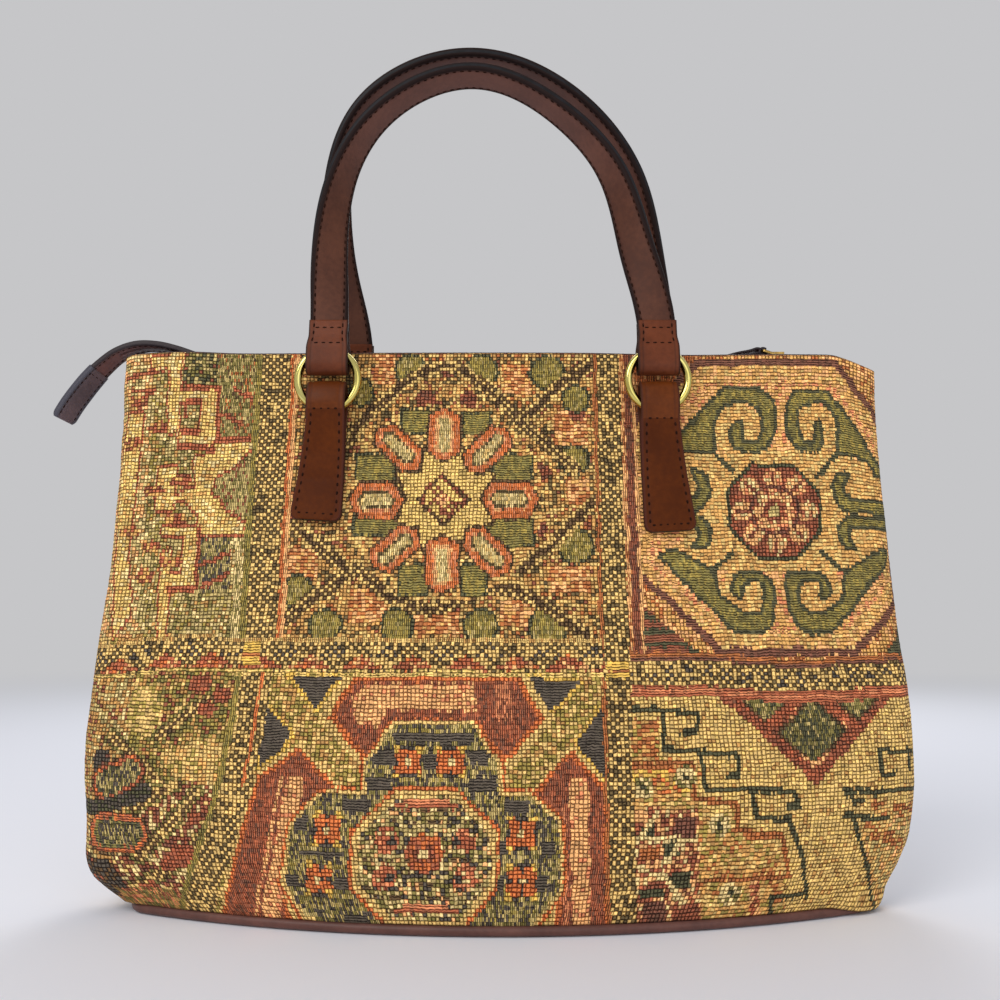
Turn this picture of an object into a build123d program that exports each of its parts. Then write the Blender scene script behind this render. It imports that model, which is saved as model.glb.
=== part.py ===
# Carpet bag: woven tapestry body on a leather base, brass zipper, two leather handles on rings.
# Units are millimetres. X runs to the wearer's right along the front, Z is up, the front faces -Y.
# The bag stands on its base with the zipper closed and both handles up.
from build123d import *
from math import asin, cos, degrees, hypot, pi, radians, sin
import os

os.makedirs("parts", exist_ok=True)

# Body of the bag
# Each station is height, half length, half depth and end radius of the oval outside.
body_stations = [
    (0, 174, 46, 13),
    (18, 190.5, 47.5, 15),
    (45, 201.5, 46.5, 16),
    (90, 202.5, 42, 15),
    (150, 197, 32, 12),
    (210, 194, 21.5, 9.5),
    (255, 193, 14.5, 8),
    (280, 193, 11.6, 8),
]
tapestry_top = 270
tapestry_thick = 2.0
piping_radius = 2.25
piping_half_length = 174.5
piping_half_depth = 46
piping_end_radius = 14
base_leather_thick = 2.2
board_thick = 2.0
board_inset = 4.0
lining_thick = 0.6
lining_top = 246
lining_gap = 0.25
fit_gap = 0.05
facing_thick = 1.4
facing_proud = 1.3

# Zipper
zip_mid = 266.75
tooth_pitch = 3.0
tooth_long = 1.7
tooth_tall = 2.5
tooth_inner = 0.7
tooth_outer = 3.1
teeth_from = -118
teeth_count = 89
tape_thick = 0.7
tape_half_length = 170
tape_drop = 13
slider_x = 143
slider_long = 10
slider_half_width = 4.6
slider_plate = 1.4
slider_gap = 0.45
bridge_tall = 4.6
bridge_thick = 1.3
hinge_rise = 1.6
link_wire = 1.6
link_reach = 7.8
link_half_width = 4.8
link_tilt = 20
pull_width = 8.6
pull_thick = 2.4
pull_length = 24

# Leather tail on the bottom end of the zipper, past the left corner
tail_path = [
    (-146, 268.7),
    (-158, 271.6),
    (-169, 275.6),
    (-181, 277),
    (-194, 275.8),
    (-207, 268.5),
    (-219, 255.5),
    (-229, 240),
]
tail_thick = 3.0
tail_start_width = 9.2
tail_end_width = 20
tail_twist = 50
tail_cap_thick = 1.2
tail_cap_start = 0.72

# Rings and leather tabs
ring_radius = 14.7
ring_wire = 2.0
ring_z = 254.4
ring_y = 21.85
ring_left_x = -85
ring_right_x = 78
leather_thick = 1.8
tab_width = 19
tab_bottom_width = 25.6
tab_splay = 4
tab_corner = 4
tab_plate_radius = 2.1
tab_left_drop = 57.5
tab_right_drop = 63
tab_fold_rise = 8.1
seat_gap = 0.2
wire_gap = 0.3

# Handles
handle_width = 19.6
handle_waist = 18.2
handle_thick = 4.8
throat_step = 0.35
handle_lean = 6.1
handle_roll = 72
handle_loop_drop = 6.3
handle_slot = 2.9
handle_throat = 14
handle_stations = 16


def oval_radius(half_length, half_depth, end_radius):
    """Radius of the long arc that runs smoothly into both end circles."""
    reach = half_length - end_radius
    return (reach**2 + half_depth**2 - end_radius**2) / (2 * (half_depth - end_radius))


def oval_face(plane, half_length, half_depth, end_radius):
    """Four-arc oval with its long sides facing front and back."""
    long_radius = oval_radius(half_length, half_depth, end_radius)
    reach = half_length - end_radius
    share = end_radius / (long_radius - end_radius)
    join_x = reach * (1 + share)
    join_y = (long_radius - half_depth) * share
    with BuildSketch(plane) as face:
        with BuildLine():
            ThreePointArc((-join_x, -join_y), (0, -half_depth), (join_x, -join_y))
            ThreePointArc((join_x, -join_y), (half_length, 0), (join_x, join_y))
            ThreePointArc((join_x, join_y), (0, half_depth), (-join_x, join_y))
            ThreePointArc((-join_x, join_y), (-half_length, 0), (-join_x, -join_y))
        make_face()
    return face.sketch


def body_solid(inset, bottom, top):
    """The whole body drawn in by an inset, cut level at a bottom and a top."""
    with BuildPart() as body:
        for height, half_length, half_depth, end_radius in body_stations:
            level = Plane.XY.offset(height)
            add(oval_face(level, half_length - inset, half_depth - inset, end_radius - inset))
        loft()
        split(bisect_by=Plane.XY.offset(bottom), keep=Keep.TOP)
        split(bisect_by=Plane.XY.offset(top), keep=Keep.BOTTOM)
    return body.part


def body_depth(x, z):
    """Half depth of the body outside at a place along it, from the stations."""
    for low, high in zip(body_stations, body_stations[1:]):
        if low[0] <= z <= high[0]:
            share = (z - low[0]) / (high[0] - low[0])
            half_length, half_depth, end_radius = [
                a + (b - a) * share for a, b in zip(low[1:], high[1:])
            ]
    long_radius = oval_radius(half_length, half_depth, end_radius)
    return half_depth - long_radius + (long_radius**2 - x**2) ** 0.5


def capsule(plane, start, start_radius, end, end_radius):
    """Outline round two circles joined by their outer tangents."""
    reach = hypot(end[0] - start[0], end[1] - start[1])
    along = Vector((end[0] - start[0]) / reach, (end[1] - start[1]) / reach)
    across = Vector(along.Y, -along.X)
    rise = (start_radius - end_radius) / reach
    run = (1 - rise**2) ** 0.5
    first = Vector(start[0], start[1])
    last = Vector(end[0], end[1])
    right = along * rise + across * run
    left = along * rise - across * run
    with BuildSketch(plane) as outline:
        with BuildLine():
            Line(first + right * start_radius, last + right * end_radius)
            ThreePointArc(
                last + right * end_radius,
                last + along * end_radius,
                last + left * end_radius,
            )
            Line(last + left * end_radius, first + left * start_radius)
            ThreePointArc(
                first + left * start_radius,
                first - along * start_radius,
                first + right * start_radius,
            )
        make_face()
    return outline.sketch


# Tapestry front and back, joined at the side seams, standing on the welt
panel_bottom = 2 * piping_radius + 2 * fit_gap

with BuildPart() as front_panel:
    add(body_solid(0, panel_bottom, tapestry_top))
    add(body_solid(tapestry_thick, panel_bottom - 1, tapestry_top + 1), mode=Mode.SUBTRACT)
    split(bisect_by=Plane.XZ, keep=Keep.TOP)
front_panel.part.label = "front_panel"
export_step(front_panel.part, "parts/front_panel.step")

with BuildPart() as back_panel:
    add(front_panel.part.rotate(Axis.Z, 180))
back_panel.part.label = "back_panel"
export_step(back_panel.part, "parts/back_panel.step")

# Leather base with a round piped welt along its edge
welt_plane = Plane.XY.offset(piping_radius + fit_gap)
welt_oval = oval_face(welt_plane, piping_half_length, piping_half_depth, piping_end_radius)

with BuildPart() as base_piping:
    welt_path = welt_oval.faces()[0].outer_wire()
    with BuildSketch(Plane(origin=welt_path @ 0, z_dir=welt_path % 0)):
        Circle(piping_radius)
    sweep(path=welt_path)
base_piping.part.label = "base_piping"
export_step(base_piping.part, "parts/base_piping.step")

base_inset = piping_radius + fit_gap
with BuildPart() as base_panel:
    add(
        oval_face(
            Plane.XY,
            piping_half_length - base_inset,
            piping_half_depth - base_inset,
            piping_end_radius - base_inset,
        )
    )
    extrude(amount=base_leather_thick)
base_panel.part.label = "base_panel"
export_step(base_panel.part, "parts/base_panel.step")

# Stiff board lying on the leather under the lining
board_bottom = base_leather_thick + fit_gap
with BuildPart() as base_board:
    add(
        oval_face(
            Plane.XY.offset(board_bottom),
            piping_half_length - board_inset,
            piping_half_depth - board_inset,
            piping_end_radius - board_inset,
        )
    )
    extrude(amount=board_thick)
base_board.part.label = "base_board"
export_step(base_board.part, "parts/base_board.step")

# Cloth lining, a bag of its own with a floor
lining_outer = tapestry_thick + lining_gap
with BuildPart() as lining:
    add(body_solid(lining_outer, panel_bottom, lining_top))
    add(
        body_solid(lining_outer + lining_thick, panel_bottom + lining_thick, lining_top + 1),
        mode=Mode.SUBTRACT,
    )
lining.part.label = "lining"
export_step(lining.part, "parts/lining.step")

# Leather facing inside the mouth, its edge standing a little above the tapestry
facing_outer = tapestry_thick + fit_gap
facing_inner = facing_outer + facing_thick
facing_top = tapestry_top + facing_proud
with BuildPart() as front_facing:
    add(body_solid(facing_outer, lining_top + fit_gap, facing_top))
    add(body_solid(facing_inner, lining_top - 1, facing_top + 1), mode=Mode.SUBTRACT)
    split(bisect_by=Plane.XZ, keep=Keep.TOP)
front_facing.part.label = "front_facing"
export_step(front_facing.part, "parts/front_facing.step")

with BuildPart() as back_facing:
    add(front_facing.part.rotate(Axis.Z, 180))
back_facing.part.label = "back_facing"
export_step(back_facing.part, "parts/back_facing.step")

# Zipper tape: a level leaf up to the teeth and a flange sewn down the facing
tape_outer = facing_inner + fit_gap
tape_top = zip_mid + tape_thick / 2
with BuildPart() as front_zipper_tape:
    add(body_solid(tape_outer, tape_top - tape_drop, tape_top))
    add(
        body_solid(tape_outer + tape_thick, tape_top - tape_drop - 1, tape_top - tape_thick),
        mode=Mode.SUBTRACT,
    )
    with Locations((0, -tooth_outer - 20, tape_top - tape_drop / 2)):
        Box(2 * tape_half_length, 40, tape_drop + 2, mode=Mode.INTERSECT)
front_zipper_tape.part.label = "front_zipper_tape"
export_step(front_zipper_tape.part, "parts/front_zipper_tape.step")

with BuildPart() as back_zipper_tape:
    add(front_zipper_tape.part.mirror(Plane.XZ))
back_zipper_tape.part.label = "back_zipper_tape"
export_step(back_zipper_tape.part, "parts/back_zipper_tape.step")

# Zipper teeth, one row on the corded edge of each tape
teeth_run = (teeth_count - 1) * tooth_pitch
cord_inner = (tooth_inner + tooth_outer) / 2
cord_tall = tape_thick + 0.4
with BuildPart() as front_zipper_teeth:
    with Locations((teeth_from + teeth_run / 2, -(cord_inner + tooth_outer) / 2, zip_mid)):
        Box(teeth_run + tooth_long, tooth_outer - cord_inner, cord_tall)
    with Locations((teeth_from + teeth_run / 2, -(tooth_inner + tooth_outer) / 2, zip_mid)):
        with GridLocations(tooth_pitch, 1, teeth_count, 1):
            Box(tooth_long, tooth_outer - tooth_inner, tooth_tall)
front_zipper_teeth.part.label = "front_zipper_teeth"
export_step(front_zipper_teeth.part, "parts/front_zipper_teeth.step")

with BuildPart() as back_zipper_teeth:
    add(front_zipper_teeth.part.mirror(Plane.XZ))
back_zipper_teeth.part.label = "back_zipper_teeth"
export_step(back_zipper_teeth.part, "parts/back_zipper_teeth.step")

# Bottom stop across both rows, and the slider with its bridge
stop_x = teeth_from - tooth_long / 2 - 1.6
with BuildPart() as zipper_stop:
    with Locations((stop_x, 0, zip_mid)):
        Box(2.6, 2 * (tooth_outer - fit_gap), tooth_tall)
    fillet(zipper_stop.edges().filter_by(Axis.Z), radius=0.8)
zipper_stop.part.label = "zipper_stop"
export_step(zipper_stop.part, "parts/zipper_stop.step")

plate_low = zip_mid + tooth_tall / 2 + slider_gap
plate_top = plate_low + slider_plate
flange_low = zip_mid + cord_tall / 2 + slider_gap
with BuildPart() as zipper_slider:
    for side in (1, -1):
        with BuildSketch(Plane.XY.offset(zip_mid + side * (plate_low - zip_mid))):
            with Locations((slider_x, 0)):
                RectangleRounded(slider_long, 2 * slider_half_width, 1.8)
        extrude(amount=side * slider_plate)
        flange_z = zip_mid + side * ((flange_low + plate_low) / 2 - zip_mid)
        with Locations((slider_x, 0, flange_z)):
            with GridLocations(1, 2 * slider_half_width - 1, 1, 2):
                Box(slider_long - 3.6, 1, plate_low - flange_low)
    with Locations((slider_x + slider_long / 2 - 1.6, 0, zip_mid)):
        Box(2.4, 1, 2 * (plate_low - zip_mid))
    with BuildSketch(Plane.XZ.offset(-1.1)):
        with Locations((slider_x, plate_top)):
            Rectangle(8, bridge_tall, align=(Align.CENTER, Align.MIN))
            Rectangle(
                8 - 2 * bridge_thick,
                bridge_tall - bridge_thick,
                align=(Align.CENTER, Align.MIN),
                mode=Mode.SUBTRACT,
            )
    extrude(amount=2.2)
zipper_slider.part.label = "zipper_slider"
export_step(zipper_slider.part, "parts/zipper_slider.step")

# Wire link through the bridge, lying back over the closed teeth
hinge_z = plate_top + hinge_rise
link_inner = link_half_width - link_wire
with BuildPart() as link_flat:
    with BuildSketch():
        with Locations((-link_reach / 2, 0)):
            RectangleRounded(link_reach + link_wire, 2 * link_half_width, 1.5)
            RectangleRounded(link_reach - link_wire, 2 * link_inner, 0.6, mode=Mode.SUBTRACT)
    extrude(amount=link_wire / 2, both=True)
    fillet(link_flat.edges().filter_by(Plane.XY), radius=0.45)

with BuildPart() as zipper_pull:
    with Locations(Location((slider_x, 0, hinge_z), (0, link_tilt, 0))):
        add(link_flat.part)
zipper_pull.part.label = "zipper_pull"
export_step(zipper_pull.part, "parts/zipper_pull.step")

# Leather pull folded round the far bar of the link, its tip down on the teeth
fold_x = slider_x - link_reach * cos(radians(link_tilt))
fold_z = hinge_z + link_reach * sin(radians(link_tilt))
fold_radius = link_wire / 2 + 0.2 + pull_thick / 2
pull_root = (fold_x - 5, fold_z + 0.35)
pull_middle = (fold_x - 0.6 * pull_length, fold_z - 1.3)
pull_tip = (fold_x - pull_length, fold_z - 4.5)
pull_plane = Plane.XZ.offset(-pull_width / 2)
neck_half = link_inner - 0.3
with BuildPart() as pull_leather:
    extrude(
        capsule(Plane.XZ.offset(-neck_half), (fold_x, fold_z), fold_radius, pull_root, pull_thick / 2),
        amount=2 * neck_half,
    )
    extrude(
        capsule(pull_plane, pull_root, pull_thick / 2, pull_middle, pull_thick / 2),
        amount=pull_width,
    )
    extrude(
        capsule(pull_plane, pull_middle, pull_thick / 2, pull_tip, pull_thick / 2),
        amount=pull_width,
    )
    with BuildSketch(Plane.XZ.offset(-neck_half - 1)):
        with Locations((fold_x, fold_z)):
            Rectangle(link_wire + 0.4, link_wire + 0.4, rotation=link_tilt)
    extrude(amount=2 * neck_half + 2, mode=Mode.SUBTRACT)
pull_leather.part.label = "pull_leather"
export_step(pull_leather.part, "parts/pull_leather.step")


def tail_solid(grow, begin, finish_past):
    """Leather strip along the tail's path, made thicker and wider all round by grow."""
    with BuildPart() as strip:
        with BuildLine(Plane.XZ):
            path = Spline(tail_path)
        sections = 14
        for section in range(sections + 1):
            share = begin + (1 - begin) * section / sections
            heading = path % share
            place = path @ share
            if section == sections:
                place = place + heading * finish_past
            ease = max(0, (share - 0.15) / 0.85)
            twist = radians(tail_twist) * ease * ease * (3 - 2 * ease)
            spread = min(1, max(0, (share - 0.14) / 0.4))
            widen = spread * spread * (3 - 2 * spread)
            width = tail_start_width + (tail_end_width - tail_start_width) * widen
            lift = Vector(0, 1, 0).cross(heading)
            across = Vector(0, 1, 0) * cos(twist) + lift * sin(twist)
            with BuildSketch(Plane(origin=place, x_dir=across, z_dir=heading)):
                RectangleRounded(width + 2 * grow, tail_thick + 2 * grow, 0.9 + grow / 2)
        loft()
    return strip.part


# Strip over the zipper's bottom end, drooping past the corner, and the cap on its tip
with BuildPart() as zipper_tail:
    add(tail_solid(0, 0, 0))
zipper_tail.part.label = "zipper_tail"
export_step(zipper_tail.part, "parts/zipper_tail.step")

with BuildPart() as tail_cap:
    add(tail_solid(tail_cap_thick, tail_cap_start, tail_cap_thick))
    add(tail_solid(2 * fit_gap, 0, 2 * fit_gap), mode=Mode.SUBTRACT)
tail_cap.part.label = "tail_cap"
export_step(tail_cap.part, "parts/tail_cap.step")

# Rings, a torus of brass wire each, hanging upright in front of the panels
ring_places = {
    "front_left_ring": (ring_left_x, -ring_y),
    "front_right_ring": (ring_right_x, -ring_y),
    "back_left_ring": (-ring_left_x, ring_y),
    "back_right_ring": (-ring_right_x, ring_y),
}
for ring_name, (ring_x, ring_depth) in ring_places.items():
    with BuildPart() as ring:
        with Locations((ring_x, ring_depth, ring_z)):
            Torus(ring_radius, ring_wire, rotation=(90, 0, 0))
    ring.part.label = ring_name
    export_step(ring.part, f"parts/{ring_name}.step")

# Leather tabs, folded through the rings and lying on the panels
tab_half = tab_width / 2
wire_far = ring_radius + ring_wire
wire_near = ((ring_radius - ring_wire) ** 2 - tab_half**2) ** 0.5
wire_drop = (wire_far + wire_near) / 2
tab_axis_z = ring_z - wire_drop
tab_slot = (wire_far - wire_near) / 2 + wire_gap
tab_eye = tab_slot + leather_thick
tab_fold_slot = 1.6
tab_seat = body_solid(-seat_gap, 20, tapestry_top + 5)


def tab_part(x, drop, splay):
    """A front tab with its eye at x, its plate reaching drop below the eye's axis."""
    bottom_z = tab_axis_z - drop
    throat_z = tab_axis_z - tab_eye - 6
    off_face = tab_plate_radius - 0.4
    throat = (-body_depth(x, throat_z) - off_face, throat_z)
    foot = (-body_depth(x, bottom_z) - off_face, bottom_z + tab_plate_radius)
    eye = (-ring_y, tab_axis_z)
    fold = (-ring_y, tab_axis_z + tab_fold_rise)
    side = Plane.YZ.offset(x - tab_bottom_width)
    with BuildPart() as tab:
        extrude(
            capsule(side, eye, tab_eye, fold, tab_fold_slot + leather_thick),
            amount=2 * tab_bottom_width,
        )
        extrude(
            capsule(side, eye, tab_eye - 0.4, throat, tab_plate_radius),
            amount=2 * tab_bottom_width,
        )
        extrude(
            capsule(side, throat, tab_plate_radius, foot, tab_plate_radius),
            amount=2 * tab_bottom_width,
        )
        with BuildSketch(Plane.XZ.offset(-10)):
            with BuildLine():
                Polyline(
                    (x - tab_half, fold[1] + 20),
                    (x - tab_half, throat_z),
                    (x + splay - tab_bottom_width / 2, bottom_z),
                    (x + splay + tab_bottom_width / 2, bottom_z),
                    (x + tab_half, throat_z),
                    (x + tab_half, fold[1] + 20),
                    close=True,
                )
            outline = make_face()
            fillet(outline.vertices().group_by(Axis.Y)[0], radius=tab_corner)
        extrude(amount=80, mode=Mode.INTERSECT)
        extrude(
            capsule(side, eye, tab_slot, fold, tab_fold_slot),
            amount=2 * tab_bottom_width,
            mode=Mode.SUBTRACT,
        )
        add(tab_seat, mode=Mode.SUBTRACT)
    return tab.part


left_tab = tab_part(ring_left_x, tab_left_drop, -tab_splay)
right_tab = tab_part(ring_right_x, tab_right_drop, tab_splay)
tab_parts = {
    "front_left_tab": left_tab,
    "front_right_tab": right_tab,
    "back_left_tab": left_tab.rotate(Axis.Z, 180),
    "back_right_tab": right_tab.rotate(Axis.Z, 180),
}
for tab_name, tab_shape in tab_parts.items():
    with BuildPart() as tab:
        add(tab_shape)
    tab.part.label = tab_name
    export_step(tab.part, f"parts/{tab_name}.step")

# Handles: a strap folded through a ring at each end, rolling over towards the crown
handle_half = handle_width / 2
handle_axis_z = ring_z + (ring_radius + (ring_radius**2 - handle_half**2) ** 0.5) / 2
handle_eye = handle_slot + leather_thick
strap_width = handle_width - 2 * throat_step
throat_radius = handle_thick / 2 + throat_step
front_arch = [
    (ring_left_x, handle_throat - 3),
    (-86.2, 45),
    (-83.5, 90),
    (-63.5, 135),
    (-14, 160),
    (31, 137.5),
    (58.5, 100),
    (70, 55),
    (ring_right_x, handle_throat - 3),
]
back_arch = [
    (-ring_right_x, handle_throat - 3),
    (-84.5, 48),
    (-89, 88),
    (-74, 147),
    (-15, 175.5),
    (46, 146.5),
    (70, 110),
    (80, 62),
    (-ring_left_x, handle_throat - 3),
]


def handle_part(side, arch, left_x, right_x):
    """A handle on the front (side -1) or back (side 1), leaning in over the mouth."""
    lean = radians(handle_lean)
    rise = Vector(0, -side * sin(lean), cos(lean))
    face = Vector(0, -cos(lean), -side * sin(lean))
    root = Vector(0, side * ring_y, handle_axis_z)
    strap_plane = Plane(origin=root, x_dir=(1, 0, 0), z_dir=face)
    with BuildPart() as handle:
        with BuildLine(strap_plane):
            path = Spline(arch, tangents=((0, 1), (0, -1)))
        for station in range(handle_stations + 1):
            share = station / handle_stations
            heading = path % share
            outward = face.cross(heading)
            roll = radians(handle_roll) * sin(pi * share) ** 0.9
            across = outward * cos(roll) + face * sin(roll)
            width = strap_width + (handle_waist - strap_width) * sin(pi * share)
            with BuildSketch(Plane(origin=path @ share, x_dir=across, z_dir=heading)):
                RectangleRounded(width, handle_thick, 1.5)
        loft()
        for eye_x in (left_x, right_x):
            section = Plane(
                origin=root + Vector(eye_x - handle_half, 0, 0),
                x_dir=face * -1,
                z_dir=(1, 0, 0),
            )
            extrude(
                capsule(section, (0, -handle_loop_drop), handle_eye, (0, 2), handle_eye),
                amount=handle_width,
            )
            extrude(
                capsule(section, (0, 2), handle_eye, (0, handle_throat), throat_radius),
                amount=handle_width,
            )
            extrude(
                capsule(section, (0, -handle_loop_drop), handle_slot, (0, 1.5), handle_slot),
                amount=handle_width,
                mode=Mode.SUBTRACT,
            )
    return handle.part


with BuildPart() as front_handle:
    add(handle_part(-1, front_arch, ring_left_x, ring_right_x))
front_handle.part.label = "front_handle"
export_step(front_handle.part, "parts/front_handle.step")

with BuildPart() as back_handle:
    add(handle_part(1, back_arch, -ring_right_x, -ring_left_x))
back_handle.part.label = "back_handle"
export_step(back_handle.part, "parts/back_handle.step")
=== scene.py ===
# %% [markdown]
# # A carpet bag
# The bag stands on its leather base with the zipper closed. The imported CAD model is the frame:
# everything below is in its metres, and each new piece rides on one of its bodies.

# %% Load the frame
import math

import bmesh
import bpy
import numpy as np
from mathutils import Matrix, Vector
from mathutils.bvhtree import BVHTree


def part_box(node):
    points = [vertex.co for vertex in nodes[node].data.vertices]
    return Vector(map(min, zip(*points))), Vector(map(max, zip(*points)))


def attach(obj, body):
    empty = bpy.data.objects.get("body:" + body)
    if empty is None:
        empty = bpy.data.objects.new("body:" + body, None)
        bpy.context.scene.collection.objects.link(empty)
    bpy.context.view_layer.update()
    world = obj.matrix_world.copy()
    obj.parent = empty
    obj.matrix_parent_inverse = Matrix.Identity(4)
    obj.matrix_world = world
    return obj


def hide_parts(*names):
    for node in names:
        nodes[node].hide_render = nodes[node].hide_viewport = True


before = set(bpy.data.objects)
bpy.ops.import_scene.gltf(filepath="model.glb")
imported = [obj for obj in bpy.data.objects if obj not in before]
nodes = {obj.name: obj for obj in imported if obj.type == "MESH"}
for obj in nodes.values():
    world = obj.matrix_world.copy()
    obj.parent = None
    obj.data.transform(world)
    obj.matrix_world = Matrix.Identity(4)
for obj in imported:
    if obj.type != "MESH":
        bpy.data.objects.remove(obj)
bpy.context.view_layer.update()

MM = 0.001


def placed(name, data):
    """A new object in the scene."""
    made = bpy.data.objects.new(name, data)
    bpy.context.scene.collection.objects.link(made)
    return made


# %% [markdown]
# ## Camera
# The bag fills the picture from a little below its middle, half a metre away. A lens of about
# 35 mm on a full frame gives that width of view.

# %% Camera
camera_data = bpy.data.cameras.new("camera")
camera_data.sensor_width = 36
camera_data.lens = 34.56
camera = placed("camera", camera_data)
camera.location = (0, -0.484187, 0.136327)
camera.rotation_euler = (math.radians(97.177), 0, 0)
bpy.context.scene.camera = camera
bpy.context.scene.view_settings.view_transform = "Standard"
print("camera at", tuple(round(v, 3) for v in camera.location))

# %% [markdown]
# ## Sums in materials
# A material is a chain of nodes. Wrapping a socket in a small class lets the sums be written as
# Python sums: each operator adds its Math node, and one method adds any other node.


# %% The socket class
class Wire:
    """One socket of a material, to be used in sums."""

    def __init__(self, tree, socket=None):
        self.tree = tree
        self.socket = socket

    def node(self, kind, settings=None, sockets=None, out=0):
        """Any node: its settings first, then its sockets, each a wire or a value."""
        made = self.tree.nodes.new(kind)
        for name, value in (settings or {}).items():
            setattr(made, name, value)
        for name, value in (sockets or {}).items():
            if isinstance(value, Wire):
                self.tree.links.new(value.socket, made.inputs[name])
            else:
                made.inputs[name].default_value = value
        return None if out is None else Wire(self.tree, made.outputs[out])

    def math(self, operation, *others):
        values = dict(enumerate((self, *others)))
        return self.node("ShaderNodeMath", {"operation": operation}, values)

    def vector(self, operation, *others, out=0):
        values = dict(enumerate((self, *others)))
        return self.node("ShaderNodeVectorMath", {"operation": operation}, values, out)

    def part(self, axis):
        return self.node("ShaderNodeSeparateXYZ", sockets={"Vector": self}, out=axis)

    def noise(self, scale, detail=2.0):
        sockets = {"Vector": self, "Scale": scale, "Detail": detail}
        return self.node("ShaderNodeTexNoise", sockets=sockets)

    def attribute(self, name, out):
        return self.node("ShaderNodeAttribute", {"attribute_name": name}, out=out)

    def bump(self, depth, strength=0.5):
        """The normal of a surface this high, depth in millimetres."""
        sockets = {"Strength": strength, "Distance": depth * MM, "Height": self}
        return self.node("ShaderNodeBump", sockets=sockets)

    def blend(self, low, high):
        """Colour low where this is 0, colour high where it is 1."""
        settings = {"data_type": "RGBA"}
        return self.node("ShaderNodeMix", settings, {0: self, 6: low, 7: high}, out=2)

    def ease(self, low, high):
        """0 below low, 1 above high, smooth between them."""
        settings = {"interpolation_type": "SMOOTHSTEP"}
        sockets = {"Value": self, "From Min": low, "From Max": high}
        return self.node("ShaderNodeMapRange", settings, sockets)

    def __add__(self, other):
        return self.math("ADD", other)

    __radd__ = __add__

    def __mul__(self, other):
        return self.math("MULTIPLY", other)

    __rmul__ = __mul__

    def __sub__(self, other):
        return self.math("SUBTRACT", other)

    def __rsub__(self, other):
        return (self * -1) + other

    def __pow__(self, other):
        return self.math("POWER", other)


def dye(red, green, blue):
    """A colour read off a screen, 0 to 255, as the linear values that nodes take."""
    shares = [v / 255 for v in (red, green, blue)]
    return tuple(s / 12.92 if s <= 0.04045 else ((s + 0.055) / 1.055) ** 2.4 for s in shares) + (1,)


def start_finish(name):
    """A new material, a wire to start its nodes from, and the place on the object."""
    material = bpy.data.materials.new(name)
    material.use_nodes = True
    material.node_tree.nodes.clear()
    start = Wire(material.node_tree)
    return material, start, start.node("ShaderNodeTexCoord", out="Object")


def end_finish(wire, **sockets):
    """Closes a material with one Principled shader."""
    named = {name.replace("_", " "): value for name, value in sockets.items()}
    shader = wire.node("ShaderNodeBsdfPrincipled", sockets=named)
    wire.node("ShaderNodeOutputMaterial", sockets={"Surface": shader}, out=None)


print("mid grey", [round(v, 3) for v in dye(128, 128, 128)])

# %% [markdown]
# ## Finishes
# Leather is a pebbled skin: fine cells in the bump, broad clouds in the dye, and a darker,
# duller rub near edges and stitch rows, which each piece carries as an attribute named wear.


# %% Leather
def leather(name, light, dark, edge, rough, depth=0.06, streak=0.0, gloss=0.35, crown_sheen=None):
    """Leather between two dyes, darker where worn. Lighter, cooler dyes take over high on a handle:
    a painted sheen on its crown.
    """
    material, start, place = start_finish(name)
    specks = place.noise(420.0, 3.0)
    cells = start.node(
        "ShaderNodeTexVoronoi", {"feature": "DISTANCE_TO_EDGE"}, {"Vector": place, "Scale": 1500}
    )
    stretched = start.node("ShaderNodeMapping", sockets={"Vector": place, "Scale": (1, 1, 0.16)})
    wear = start.attribute("wear", "Fac")
    tone = (place.noise(38.0, 4.0) * 0.8 + specks * 0.4 - 0.1).ease(0.3, 0.75)
    dyed = tone.blend(dye(*dark), dye(*light))
    # Painted sheen: above about 0.34 m the dyes turn lighter and cooler, standing in for light on
    # the crown.
    if crown_sheen:
        sheened_dye = tone.blend(dye(*crown_sheen[0]), dye(*crown_sheen[1]))
        dyed = place.part("Z").ease(0.34, 0.4).blend(dyed, sheened_dye)
    skin = cells.ease(0.0, 0.22) * 0.7 + specks * 0.5 + stretched.noise(700.0) * streak
    end_finish(
        start, Base_Color=wear.ease(0.05, 1.0).blend(dyed, dye(*edge)), Normal=skin.bump(depth),
        Roughness=specks * 0.18 + wear * 0.12 + (rough - 0.1), Specular_IOR_Level=gloss,
    )
    return material


# The handle's crown carries a painted sheen: lighter, cooler dyes high on the handle.
handle_leather = leather(
    "handle_leather", (98, 60, 45), (76, 46, 36), (34, 21, 19), 0.55, streak=0.5, gloss=0.12,
    crown_sheen=((94, 63, 55), (114, 76, 65)),
)
loop_leather = leather(
    "loop_leather", (112, 56, 30), (90, 43, 22), (50, 26, 17), 0.42, streak=0.3, gloss=0.16
)
tab_leather = leather(
    "tab_leather", (96, 45, 12), (76, 33, 8), (80, 42, 32), 0.55, depth=0.035, gloss=0.08
)
fold_leather = leather(
    "fold_leather", (112, 55, 18), (90, 42, 12), (70, 36, 24), 0.45, depth=0.035, gloss=0.12
)
trim_leather = leather("trim_leather", (112, 72, 62), (86, 54, 47), (46, 28, 26), 0.44)
tail_leather = leather("tail_leather", (108, 72, 69), (86, 56, 55), (46, 36, 39), 0.42)
cap_leather = leather("cap_leather", (98, 80, 84), (76, 63, 68), (70, 68, 78), 0.34)
base_leather = leather("base_leather", (86, 48, 38), (64, 35, 29), (38, 21, 18), 0.55)
print("leathers", [m.name for m in bpy.data.materials])


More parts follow.
